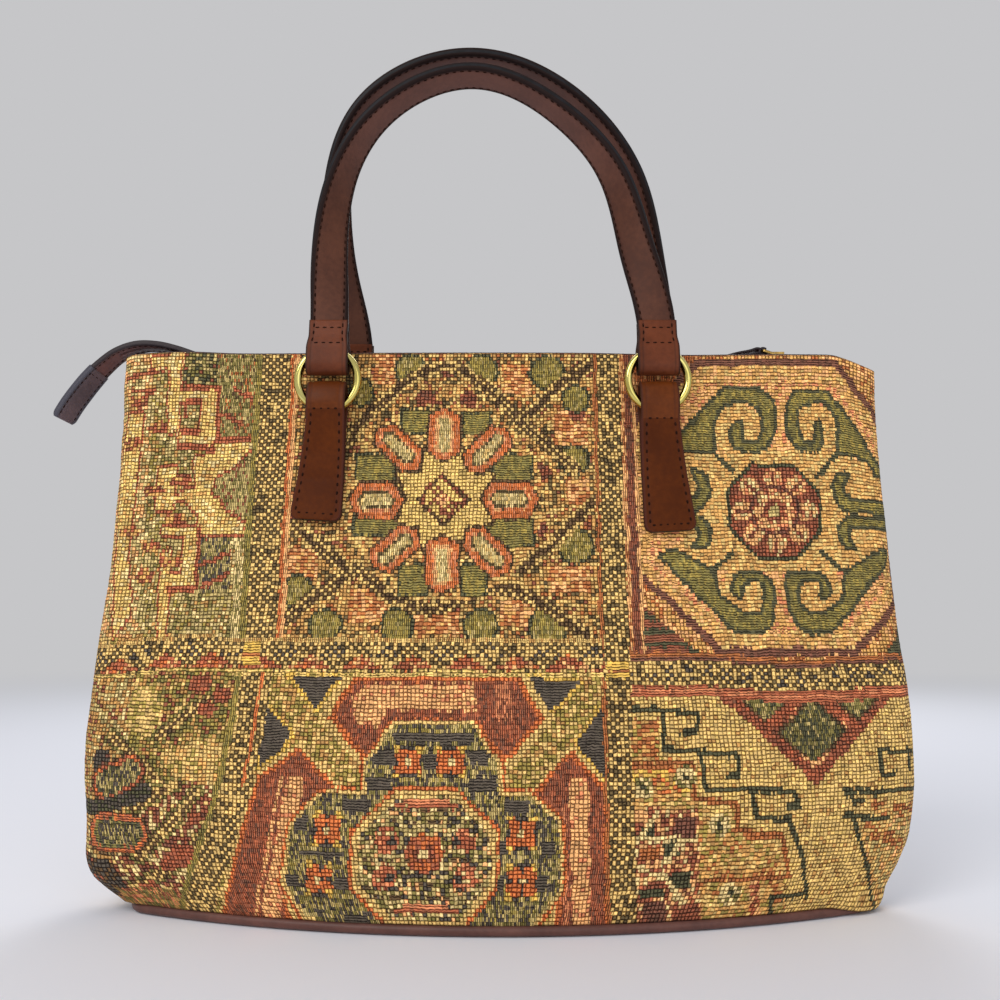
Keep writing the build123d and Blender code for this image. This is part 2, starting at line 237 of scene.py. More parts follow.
# %% Painted edges, thread, brass and board
def plain_finish(name, low, high, rough, scale, depth, metal=0.0, spread=0.15, gloss=0.5):
    """A finish of two close colours in clouds, with a fine uneven surface."""
    material, start, place = start_finish(name)
    cloud = place.noise(scale, 5.0)
    end_finish(
        start, Base_Color=cloud.ease(0.35, 0.65).blend(dye(*low), dye(*high)), Metallic=metal,
        Roughness=cloud * spread + (rough - spread / 2), Specular_IOR_Level=gloss,
        Normal=(place.noise(scale * 9, 3.0) + cloud).bump(depth),
    )
    return material


edge_paint = plain_finish("edge_paint", (14, 14, 17), (27, 25, 30), 0.5, 160.0, 0.08, gloss=0.2)
tab_edge = plain_finish("tab_edge", (38, 27, 20), (60, 46, 36), 0.5, 160.0, 0.08, gloss=0.25)
# The thread is dyed very dark brown: painted shade of the stitch holes it lies in.
thread = plain_finish("thread", (32, 16, 10), (50, 26, 16), 0.9, 900.0, 0.06, gloss=0.08)
ring_brass = plain_finish(
    "ring_brass", (206, 190, 104), (226, 214, 134), 0.14, 60.0, 0.01, metal=1.0, spread=0.08
)
zipper_brass = plain_finish(
    "zipper_brass", (150, 122, 66), (184, 154, 92), 0.34, 220.0, 0.03, metal=1.0
)
board_finish = plain_finish("board", (110, 92, 70), (128, 108, 84), 0.85, 300.0, 0.1)


# %% Woven cloth of the zipper tape and the lining
def plain_weave(name, low, high, pitch):
    """Over and under threads, pitch apart in millimetres."""
    material, start, place = start_finish(name)
    turn = math.pi / (pitch * MM)
    warp = (place.part("X") * turn).math("SINE").math("ABSOLUTE")
    weft = ((place.part("Y") + place.part("Z")) * turn).math("SINE").math("ABSOLUTE")
    threads = warp * weft
    # Darker between the threads and paler on them: painted shade in the hollows of the weave, with
    # clouds of random tone.
    colour = (threads * 0.7 + place.noise(90.0) * 0.5).ease(0.1, 0.9).blend(dye(*low), dye(*high))
    end_finish(start, Base_Color=colour, Roughness=0.9, Normal=threads.bump(0.15, 0.7))
    return material


tape_weave = plain_weave("tape_weave", (52, 38, 26), (104, 80, 56), 0.5)
lining_cloth = plain_weave("lining_cloth", (52, 42, 34), (92, 76, 62), 0.4)

# %% [markdown]
# ## Tapestry yarn
# Each face of the tapestry is half a stitch. It carries its yarn, a second yarn for dotted work,
# and how deep the gaps beside and above it are. The material rounds every stitch, with painted
# shade in the gaps and a painted highlight on the crests.


# %% Tapestry material
def scaled(colour, factor, plus):
    """A colour times a factor, plus a fixed one."""
    return colour.vector("MULTIPLY_ADD", (factor, factor, factor), plus)


def tapestry_finish():
    """Round stitches from the grid, with painted shade in the gaps and a painted highlight on the
    crests.
    """
    material, start, place = start_finish("tapestry")
    grid = start.node("ShaderNodeUVMap", {"uv_map": "stitches"}, out="UV")
    across, up = grid.part("X"), grid.part("Y")
    gaps = start.attribute("gaps", "Vector")
    fibre = place.noise(2100.0)
    wobble = (fibre - 0.5) * 0.7
    off_x = ((across.math("FRACT") * 2 - 1 + wobble).math("ABSOLUTE") ** 2.2) * gaps.part("X")
    off_z = ((up.math("FRACT") * 2 - 1 + wobble).math("ABSOLUTE") ** 2.2) * gaps.part("Y")
    lump = 1 - off_x.math("MAXIMUM", off_z).ease(0.1, 0.95)
    cell = grid.vector("FLOOR")
    luck = grid.node("ShaderNodeTexWhiteNoise", {"noise_dimensions": "2D"}, {"Vector": cell})
    odd = (across.math("FLOOR") + up.math("FLOOR")).math("MODULO", 2.0).math("ABSOLUTE")
    light = odd.math("MAXIMUM", luck.math("GREATER_THAN", 0.76)) * luck.math("GREATER_THAN", 0.07)
    chosen = light.blend(start.attribute("yarn", "Color"), start.attribute("second", "Color"))
    # Painted shade in the gaps between stitches: a darker, deeper-coloured copy of the yarn.
    dim_gap_shade = scaled(chosen, 0.08, (0.014, 0.009, 0.004))
    deep = scaled(chosen.vector("MULTIPLY", chosen), 0.25, dim_gap_shade)
    # Painted highlight on the stitch crests: the yarn brightened towards a warm white.
    crest_highlight = scaled(chosen, 1.5, (0.09, 0.075, 0.045))
    full = lump * 0.85 + fibre * 0.55 + place.noise(520.0, 1.0) * 0.35 - 0.45
    colour = full.ease(0.5, 1.0).blend(full.ease(0.0, 0.7).blend(deep, chosen), crest_highlight)
    normal = (lump + fibre * 0.4).bump(0.6, 1.0)
    end_finish(start, Base_Color=colour, Roughness=0.88, Normal=normal, Specular_IOR_Level=0.25)
    return material


tapestry = tapestry_finish()

# %% [markdown]
# ## The walls of the bag
# A row of points round the outside of the CAD panel at one height gives the place of a row of
# stitches. Rays find it: straight in along the front, and at each end towards a point that lies
# END_RADIUS inside the end.


# %% Rows round the wall
def ray_tree(node):
    """A tree for rays against one of the CAD pieces."""
    mesh = nodes[node].data
    return BVHTree.FromPolygons([v.co for v in mesh.vertices], [p.vertices for p in mesh.polygons])


wall = ray_tree("front_panel")
SEAM_Z = (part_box("front_panel")[0].z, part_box("front_panel")[1].z)
END_RADIUS = 12 * MM


def wall_row(height):
    """x, y and distance along the wall, from the left side seam to the right one."""
    z = min(max(height, SEAM_Z[0] + 0.1 * MM), SEAM_Z[1] - 0.1 * MM)
    found = {}
    ends = {}
    for side in (-1, 1):
        hit = wall.ray_cast(Vector((side * 0.4, -0.01 * MM, z)), Vector((-side, 0, 0)))[0]
        ends[side] = side * (abs(hit.x) - END_RADIUS)
        found[side] = []
        for angle in np.radians(np.linspace(0, 90, 14)[:-1])[::-side]:
            way = Vector((side * math.cos(angle), -math.sin(angle) - 1e-4, 0)).normalized()
            found[side].append(wall.ray_cast(Vector((ends[side], 0, z)) + way * 0.3, -way)[0])
    front = [
        wall.ray_cast(Vector((x, -0.4, z)), Vector((0, 1, 0)))[0]
        for x in np.linspace(ends[-1], ends[1], 90)
    ]
    every = found[-1] + front + found[1]
    line = np.array([(p.x, p.y) for p in every if p is not None])
    along = np.concatenate([[0], np.cumsum(np.hypot(*np.diff(line, axis=0).T))])
    along -= np.interp(0, line[:, 0], along)
    return line[:, 0], line[:, 1], along


test_row = wall_row(0.09)
print("row at 90 mm: x", test_row[0][[0, -1]].round(4), "length", np.ptp(test_row[2]).round(4))

# %% [markdown]
# ## The stitch chart
# The pattern is a patchwork of old rug motifs. It is drawn as a maker would fill a chart: plain
# shapes in millimetres on the front, painted one over the other, and each stitch takes the yarn of
# the last shape that covers its middle.

# %% Yarns
yarns = {
    "cream": (232, 202, 136),
    "wheat": (224, 184, 108),
    "straw": (230, 190, 106),
    "gold": (224, 184, 108),
    "amber": (216, 160, 86),
    "peach": (236, 172, 108),
    "salmon": (212, 126, 82),
    "orange": (204, 104, 48),
    "rust": (170, 94, 44),
    "tan": (184, 134, 70),
    "brick": (166, 82, 50),
    "maroon": (138, 68, 44),
    "plum": (108, 58, 44),
    "olive": (152, 130, 56),
    "moss": (116, 104, 48),
    "bark": (88, 68, 34),
    "forest": (62, 62, 38),
    "sage": (182, 158, 96),
    "slate": (65, 56, 51),
    "umber": (84, 56, 28),
    "yellow": (226, 180, 78),
}
yarn_names = list(yarns)
yarn_table = np.array([dye(*yarns[name])[:3] for name in yarn_names])
print("yarns", len(yarns))


# %% Shapes on the chart
def ripple(x, z, seed, waves, size, tall=1.0):
    """Smooth uneven waves of about the given size in millimetres, from -1 to 1."""
    luck = np.random.default_rng(seed)
    total = np.zeros_like(x)
    for _ in range(waves):
        turn = luck.uniform(0, 2 * np.pi)
        long = size * luck.uniform(0.7, 1.6)
        phase = luck.uniform(0, 2 * np.pi, 2)
        bend = 0.8 * np.sin(2 * np.pi * (x * 0.3 + z * 0.7) / (3 * size) + phase[1])
        way = x * np.cos(turn) + z * np.sin(turn) / tall
        total += np.sin(2 * np.pi * way / long + phase[0] + bend)
    return total / waves**0.5 / 1.4


def smooth_line(points, count=12):
    """Points of a curve that runs smoothly through the given ones."""
    p = np.array([points[0], *points, points[-1]], float)
    t = np.linspace(0, 1, count, endpoint=False)[:, None]
    runs = []
    for a, b, c, d in zip(p, p[1:], p[2:], p[3:]):
        square = (2 * a - 5 * b + 4 * c - d) * t**2
        cube = (3 * b - a - 3 * c + d) * t**3
        runs.append(0.5 * (2 * b + (c - a) * t + square + cube))
    return [tuple(q) for q in np.vstack([*runs, p[-1:]])]


# The gaps beside and above a stitch of each rib, and its place in the sizes of stitches.
RIBS = {
    "round": ((0.85, 1), 0), "flat": ((0.5, 1), 0), "level": ((0.3, 1), 1), "upright": ((1, 0.5), 2)
}


def between(value, low, high):
    return (value > low) & (value < high)


class Chart:
    """Stitches at x and z, millimetres on the front, each with two yarns and its gaps."""

    def __init__(self, x, z, seed):
        self.luck = np.random.default_rng(seed)
        self.x = x + 0.45 * ripple(x, z, seed + 1, 8, 13) + self.luck.normal(0, 0.2, x.shape)
        self.z = z + 0.45 * ripple(x, z, seed + 2, 8, 13) + self.luck.normal(0, 0.2, x.shape)
        self.yarn = np.zeros(x.shape, int)
        self.second = np.zeros(x.shape, int)
        self.gaps = np.ones((*x.shape, 2))
        self.rib = np.zeros(x.shape, int)

    def inside(self, *points):
        hit = np.zeros(self.x.shape, bool)
        for (x0, z0), (x1, z1) in zip(points, points[1:] + points[:1]):
            if z0 != z1:
                crosses = (self.z < z0) != (self.z < z1)
                hit ^= crosses & (self.x < x0 + (self.z - z0) * (x1 - x0) / (z1 - z0))
        return hit

    def box(self, x0, x1, z0, z1):
        return between(self.x, x0, x1) & between(self.z, z0, z1)

    def reach(self, *points):
        """Distance from the line through the points."""
        least = np.full(self.x.shape, 1e9)
        for (x0, z0), (x1, z1) in zip(points, points[1:]):
            dx, dz = x1 - x0, z1 - z0
            share = ((self.x - x0) * dx + (self.z - z0) * dz) / max(dx * dx + dz * dz, 1e-9)
            share = np.clip(share, 0, 1)
            least = np.minimum(least, np.hypot(self.x - x0 - share * dx, self.z - z0 - share * dz))
        return least

    def block(self, x, z, wide, tall):
        return self.box(x - wide / 2, x + wide / 2, z - tall / 2, z + tall / 2)

    def disc(self, x, z, radius, flat=1.0):
        return np.hypot(self.x - x, (self.z - z) / flat) < radius

    def paint(self, mask, yarn, rib="round"):
        self.yarn[mask] = self.second[mask] = yarn_names.index(yarn)
        self.gaps[mask], self.rib[mask] = RIBS[rib]

    def tweed(self, mask, rib="round", **mix):
        """Stitches of several yarns at random, by their shares."""
        shares = np.array(list(mix.values()), float)
        draw = self.luck.choice(len(mix), self.x.shape, p=shares / shares.sum())
        if rib in ("round", "flat"):
            draw = np.repeat(draw[:, ::2], 2, axis=1)[:, : self.x.shape[1]]
        for k, name in enumerate(mix):
            self.paint(mask & (draw == k), name, rib)

    def dots(self, mask, light, dark):
        """Dotted work: big round stitches in two yarns like a draughts board."""
        self.yarn[mask] = yarn_names.index(dark)
        self.second[mask] = yarn_names.index(light)
        self.gaps[mask] = (1, 1)
        self.rib[mask] = 0

    def within(self, points, margin):
        """Inside the shape and at least the margin away from its outline."""
        return self.inside(*points) & (self.reach(*points, points[0]) > margin)

    def outline(self, points, half, yarn):
        self.paint(self.reach(*points, points[0]) < half, yarn)

    def line(self, points, half, yarn, rib="round"):
        self.paint(self.reach(*points) < half, yarn, rib)


def petal(c, start, end, radius, ring):
    """A long petal with pointed ends: dark contour, orange rim, a ring, striped pale core."""
    x, z = (start[0] + end[0]) / 2, (start[1] + end[1]) / 2
    size = math.hypot(end[0] - start[0], end[1] - start[1]) / 2
    ux, uz = (end[0] - start[0]) / size / 2, (end[1] - start[1]) / size / 2
    u = np.abs((c.x - x) * ux + (c.z - z) * uz)
    v = np.abs((c.z - z) * ux - (c.x - x) * uz)
    d = np.maximum(v, v * 0.62 + u - size)
    c.paint(d < radius + 1.2, "umber")
    c.tweed(d < radius, "upright", orange=5, salmon=2)
    c.tweed(d < radius * 0.62, "upright", salmon=3, peach=2, orange=1)
    c.paint(d < radius * 0.52, ring, "upright")
    c.tweed(d < radius * 0.36, "upright", cream=2, wheat=1, sage=2)


def horn(c, points):
    """A curled ram's horn, ribbed olive inside a dark green contour."""
    shape = smooth_line(points, 3)
    hit = c.inside(*shape)
    edge = c.reach(*shape, shape[0])
    c.paint(hit | (edge < 0.6), "forest", "level")
    c.tweed(hit & (edge > 1.3), "level", olive=2, moss=5)


def cross_flower(c, x, z):
    """Four orange petals round a cream eye, with yellow tips."""
    c.paint(c.box(x - 6.5, x + 6.5, z - 7, z + 7), "slate")
    for dx in (-1, 1):
        for dz in (-1, 1):
            c.paint(c.disc(x + dx * 3.2, z + dz * 3.2, 3.1), "orange")
            c.paint(c.disc(x + dx * 5.2, z + dz * 6.2, 1.6), "yellow")
    c.paint(c.disc(x, z, 1.5), "cream")


print("shapes ready")


# %% Columns and bands between the patches
def columns(c):
    """The two dotted columns and the stripes beside them."""
    low = np.clip((130 - c.z) / 120, 0, 1)
    lean = low * low * 24
    u = c.x + lean
    left = between(u, -120.5, -105.5)
    c.dots(left, "wheat", "bark")
    c.tweed(between(u, -123.5, -120.5), "upright", olive=2, moss=1)
    high = c.z > 128
    c.paint(between(u, -105.5, -103.8) & high, "orange", "upright")
    c.paint(between(u, -103.8, -101.8) & high, "peach", "upright")
    c.paint(between(u, -111.5, -109.8) & between(c.z, 62, 112), "orange", "upright")
    right = c.box(48, 60, -5, 280)
    c.dots(right, "wheat", "bark")
    c.paint(c.box(46.6, 48.4, -5, 280), "rust", "upright")
    c.tweed(c.box(60, 62.2, 122, 280), "upright", peach=2, rust=1)
    c.tweed(c.box(62.2, 66, 122, 280), "upright", maroon=2, plum=1)
    c.paint(c.box(66, 67.6, 122, 280), "peach", "upright")


def bands(c):
    """The dotted bands across the front, with their saw teeth and stripes."""
    sway = np.interp(c.x, (-200, -150, -110, 0, 48), (-4, 1.5, 0, 0, 0))
    z = c.z - sway
    left = c.x < 48
    band = left & between(z, 112, 128.5)
    c.dots(band, "wheat", "bark")
    c.tweed(left & between(z, 126.6, 128.4), "upright", wheat=3, tan=2)
    saw = np.abs(((c.x + 4) / 24.0) % 1 - 0.5) * 2
    c.dots(left & between(z, 119, 126.2) & (saw > (z - 117) / 9), "wheat", "slate")
    c.tweed(left & (z > 113.8) & (z < 113.8 + 7 * (1 - saw)), brick=3, orange=1, peach=1)
    c.tweed(left & between(z, 111.6, 113.4), "level", straw=3, olive=2)
    dip = np.interp(c.x, (60, 100, 130, 150, 190, 215), (0, 0, -3.2, -3.4, -1, -3))
    z = c.z - dip
    right = c.x > 60
    c.dots(right & between(z, 105, 119.5), "wheat", "bark")
    c.paint(right & between(z, 118, 121), "plum", "level")
    c.paint(right & between(z, 119.6, 121.8), "rust", "level")
    c.dots(right & between(z, 109, 116) & (((c.x / 9) % 1) > 0.5), "wheat", "slate")
    c.paint(right & between(z, 101.6, 106.4), "brick", "level")
    c.paint(right & between(z, 103.4, 104.6), "salmon", "level")
    for x0, x1, z0, z1 in ((49, 59, 110, 118), (-121, -112, 116, 126)):
        c.paint(c.box(x0, x1, z0, z1), "yellow", "level")
        c.paint(c.box(x0, x1, (z0 + z1) / 2 - 0.8, (z0 + z1) / 2 + 0.8), "rust", "level")


# %% Top middle: the eight-petalled rosette
ROSETTE = (-27.5, 194.5)


def rosette_patch(c):
    here = c.box(-104, 47, 127, 285)
    c.tweed(here, wheat=4, tan=6, amber=2, rust=1, maroon=1, bark=3)
    for x, z, w, h in (
        (-58, 262, 10, 16), (8, 256, 14, 16), (35, 231, 17, 17), (38, 198, 12, 13),
        (33, 156, 20, 12), (-62, 143, 18, 16), (-95, 164, 16, 14), (8, 140, 16, 13),
        (-30, 135, 22, 11),
    ):
        c.tweed(c.block(x, z, w, h) & here, "flat", rust=3, peach=2, amber=1)
    for x, z in (
        (-37, 246), (-16, 246), (-26, 262), (20, 208), (18, 180), (-100, 190), (38, 238), (42, 262),
    ):
        c.tweed(c.disc(x, z, 4.6) & here, maroon=3, plum=1)
    for x, z, r in (
        (-45, 262, 7), (-9, 262, 7), (24, 260, 8), (38, 246, 6), (36, 215, 7), (36, 172, 8),
        (-96, 150, 7), (-82, 134, 7), (-48, 134, 7), (-9, 134, 7), (22, 133, 8), (-70, 250, 6),
    ):
        c.paint(c.disc(x, z, r + 1.4) & here, "forest")
        c.tweed(c.disc(x, z, r) & here, "upright", sage=1, olive=4, moss=2)
    lines = (
        [
            (-67, 237), (-53, 250), (-40, 259), (-28, 264), (-14, 258),
            (0, 246), (10, 234), (24, 222), (36, 210),
        ],
        [(10, 234), (22, 246), (34, 256), (46, 266)],
        [(-76, 222), (-66, 238)],
        [(12, 162), (24, 172), (36, 184), (47, 194)],
        [
            (-70, 162), (-58, 152), (-46, 145), (-30, 142), (-12, 150),
            (4, 152), (20, 144), (34, 134), (47, 124),
        ],
        [(-110, 128), (-96, 142), (-84, 150), (-70, 160)],
        [(-72, 160), (-84, 170), (-100, 182)],
    )
    for line in lines:
        d = c.reach(*smooth_line(line, 5))
        c.dots((d < 3.4) & here, "wheat", "umber")
        c.paint((d < 0.8) & here, "umber")
    x, z = ROSETTE
    r = np.hypot(c.x - x, c.z - z)
    c.tweed(r < 49, "flat", straw=3, wheat=3, tan=5, amber=2, rust=1, bark=2)
    for x0, x1, z0, z1 in (
        (-48, -35, 229, 240), (-18, -5, 228, 239), (-70, -52, 205, 217), (-3, 15, 205, 216.5),
        (-70, -49, 177, 188), (-5, 15.5, 172, 185), (-47, -35, 149, 162), (-18, -7, 149, 162),
    ):
        c.paint(c.box(x0 - 1.4, x1 + 1.4, z0 - 1, z1 + 1), "forest")
        c.tweed(c.box(x0, x1, z0, z1), "level", olive=2, moss=4)
    star = (
        (-27.5, 213), (-36, 221), (-38.5, 209), (-50, 208), (-45, 194.5), (-50, 184), (-39, 181),
        (-37, 171),
        (-27.5, 178), (-18, 171), (-16, 181), (-3, 183), (-9, 194.5), (-3, 207), (-16, 209),
        (-18, 221),
    )
    c.outline(star, 1.3, "umber")
    c.tweed(c.inside(*star), straw=5, gold=1)
    spread = np.abs(c.x - x) + np.abs(c.z - z)
    c.tweed(spread < 13.5, umber=3, maroon=1)
    c.dots(spread < 11, "straw", "maroon")
    c.paint(spread < 3.5, "peach")
    c.paint(spread < 1.6, "maroon")
    for start, end, radius, ring in (
        ((-27.5, 221.5), (-27.5, 234.5), 7.5, "peach"),
        ((-27.5, 156.5), (-27.5, 169.5), 7.5, "peach"),
        ((0, 194.5), (10, 194.5), 9, "bark"), ((-65, 194.5), (-55, 194.5), 8.6, "bark"),
        ((-11, 214.5), (-1, 225), 7, "bark"), ((-45, 216), (-55, 226), 7, "bark"),
        ((-11, 174), (-1, 164), 7, "bark"), ((-45, 175), (-55, 166), 7, "bark"),
    ):
        petal(c, start, end, radius, ring)


# %% Top right: octagon with ram's horns
def octagon(k):
    """The octagon's corners, drawn in by k millimetres."""
    s = 0.41 * k
    return (
        (60 + k, 163 - s + k * 0.4), (103 + s, 120 + k), (172 - s, 120 + k), (200 - k, 146 + s),
        (200 - k, 236 - s), (172 - s, 268 - k), (99 + s, 268 - k), (60 + k, 231 - s),
    )


def horn_patch(c):
    here = (c.x > 67.4) & (c.z > 117)
    c.tweed(here, amber=3, peach=2, rust=1)
    c.tweed(here & (c.z > 150) & (c.x < 100), "upright", rust=3, orange=1, peach=1)
    low = c.inside((60, 119), (96, 119), (60, 150))
    c.paint(low, "forest", "level")
    c.paint(low & (((c.z / 6.2) % 1) > 0.5) & (c.x < 88), "maroon", "level")
    corner = c.inside((185, 119), (215, 119), (215, 150))
    c.paint(corner, "forest", "level")
    c.paint(c.inside(*octagon(0)), "plum", "level")
    c.tweed(c.inside(*octagon(3.8)), "flat", peach=2, wheat=2, amber=4, tan=2)
    c.tweed(c.inside(*octagon(11.5)), "level", salmon=2, peach=2, amber=2)
    c.tweed(c.inside(*octagon(13.5)), "flat", peach=3, amber=3, salmon=1)
    core = c.inside(
        (90, 220), (105, 219), (118, 221), (150, 221), (168, 220), (190, 214), (190, 170),
        (168, 160), (150, 160), (120, 160), (104, 160), (88, 168),
    )
    for x, z in ((118, 232), (157, 232), (117, 148), (154, 149)):
        core |= c.disc(x, z, 13)
    c.tweed(core, "flat", gold=3, amber=4, tan=1)
    horns = (
        [
            (82, 224), (90.5, 230.3), (101, 241.5), (111.7, 252), (120, 253.3), (129.6, 253.3),
            (137, 246), (138.2, 238), (137.2, 231), (133.5, 222.6), (128, 220), (118.7, 220.6),
            (115.2, 223.8), (114.6, 229), (115.8, 234.1), (120, 236.4), (120.6, 231.5),
            (121.5, 225.9), (128.3, 225.3), (130.4, 231.5), (130.3, 239.2), (126, 244.6),
            (116.8, 245), (110.4, 241.8), (107.6, 234.1), (107.2, 227), (105.3, 219.4),
            (90.5, 219.5),
        ],
        [
            (142.6, 238), (147.6, 250.6), (155, 252.6), (164.2, 252.2), (171.3, 245.6),
            (180.9, 232.8), (186, 222.6), (196, 212), (189, 209.7), (183.5, 217.5), (169.4, 219.4),
            (168.2, 221), (169.6, 229), (168.7, 239.2), (163.6, 245), (155.2, 244.6), (150, 240.5),
            (149.6, 231), (152.6, 224.9), (157, 225.6), (157.4, 234.7), (160.4, 236.8), (162, 231),
            (161.7, 224), (158.6, 220), (147.6, 221), (143, 230),
        ],
        [
            (75.1, 167.4), (87.3, 154.6), (106.5, 135.4), (112, 131.4), (122, 130.4),
            (129.6, 134.4), (132, 143), (131.8, 152.1), (127, 159.1), (113.5, 158.8), (110.8, 154),
            (111.4, 148), (115.4, 147.6), (116.8, 153.8), (124.7, 154.6), (126, 147), (122.9, 140),
            (114.8, 141.2), (106, 148), (103.2, 153), (101.4, 160.6), (83.5, 171),
        ],
        [
            (137.8, 157.2), (142.4, 159.9), (155.3, 159.5), (159.9, 155), (160.6, 149.5),
            (156.5, 146), (155, 149), (154.6, 154.4), (146.3, 155), (144.6, 147.4), (149, 141.2),
            (159.4, 141.4), (166.8, 150), (168.4, 158.5), (174.5, 164.6), (191, 172.5),
            (193, 165.9), (180.9, 153.6), (170.6, 141.1), (161, 132.4), (150.4, 130),
            (141.2, 135.4), (138, 146.9),
        ],
    )
    for shape in horns:
        horn(c, shape)
    curls = (
        [
            (72, 189.5), (86, 190), (96, 190.4), (102, 196), (102.8, 203), (100, 208.6),
            (94.6, 209.7), (95.4, 205.6), (97, 201), (94, 197.5), (86, 197), (72, 196),
        ],
        [
            (72, 188), (86, 188), (96, 187.4), (101.4, 182.6), (101.4, 176), (98, 171.6),
            (92, 172.4), (95.4, 176), (95, 181), (86, 182), (72, 182),
        ],
    )
    for mirrored in (False, True):
        for curl in curls:
            horn(c, [(268 - x if mirrored else x, z) for x, z in curl])
    for ends in (
        ((105.5, 219), (115, 210)), ((168.7, 219), (156.5, 207.2)),
        ((102, 160), (111.7, 169.4)), ((168.5, 160), (157.8, 170)),
    ):
        c.line(ends, 1.2, "forest", "level")
    flower(c, 134.5, 190)


def flower(c, x, z):
    """The round flower in the middle of the horns."""
    r = np.hypot(c.x - x, c.z - z)
    turn = (np.degrees(np.arctan2(c.z - z, c.x - x)) + 360 + 22.5) % 45 - 22.5
    side = np.maximum(np.abs(c.x - x), np.abs(c.z - z))
    eight = np.maximum(side, (np.abs(c.x - x) + np.abs(c.z - z)) / 1.414)
    c.paint(eight < 24, "forest")
    c.tweed(eight < 22.3, maroon=4, brick=2)
    off = np.radians(turn)
    for reach, size in ((16.5, 4.9), (8.2, 2.9)):
        blob = np.hypot(r * np.cos(off) - reach, r * np.sin(off)) < size
        c.tweed(blob, peach=4, cream=2, salmon=1)
    c.paint((np.abs(np.abs(off) * r) < 0.7) & between(r, 12, 20), "maroon")
    c.paint(between(r, 11.2, 12.6), "plum")
    c.paint(side < 2.6, "sage")


print("top patches ready")


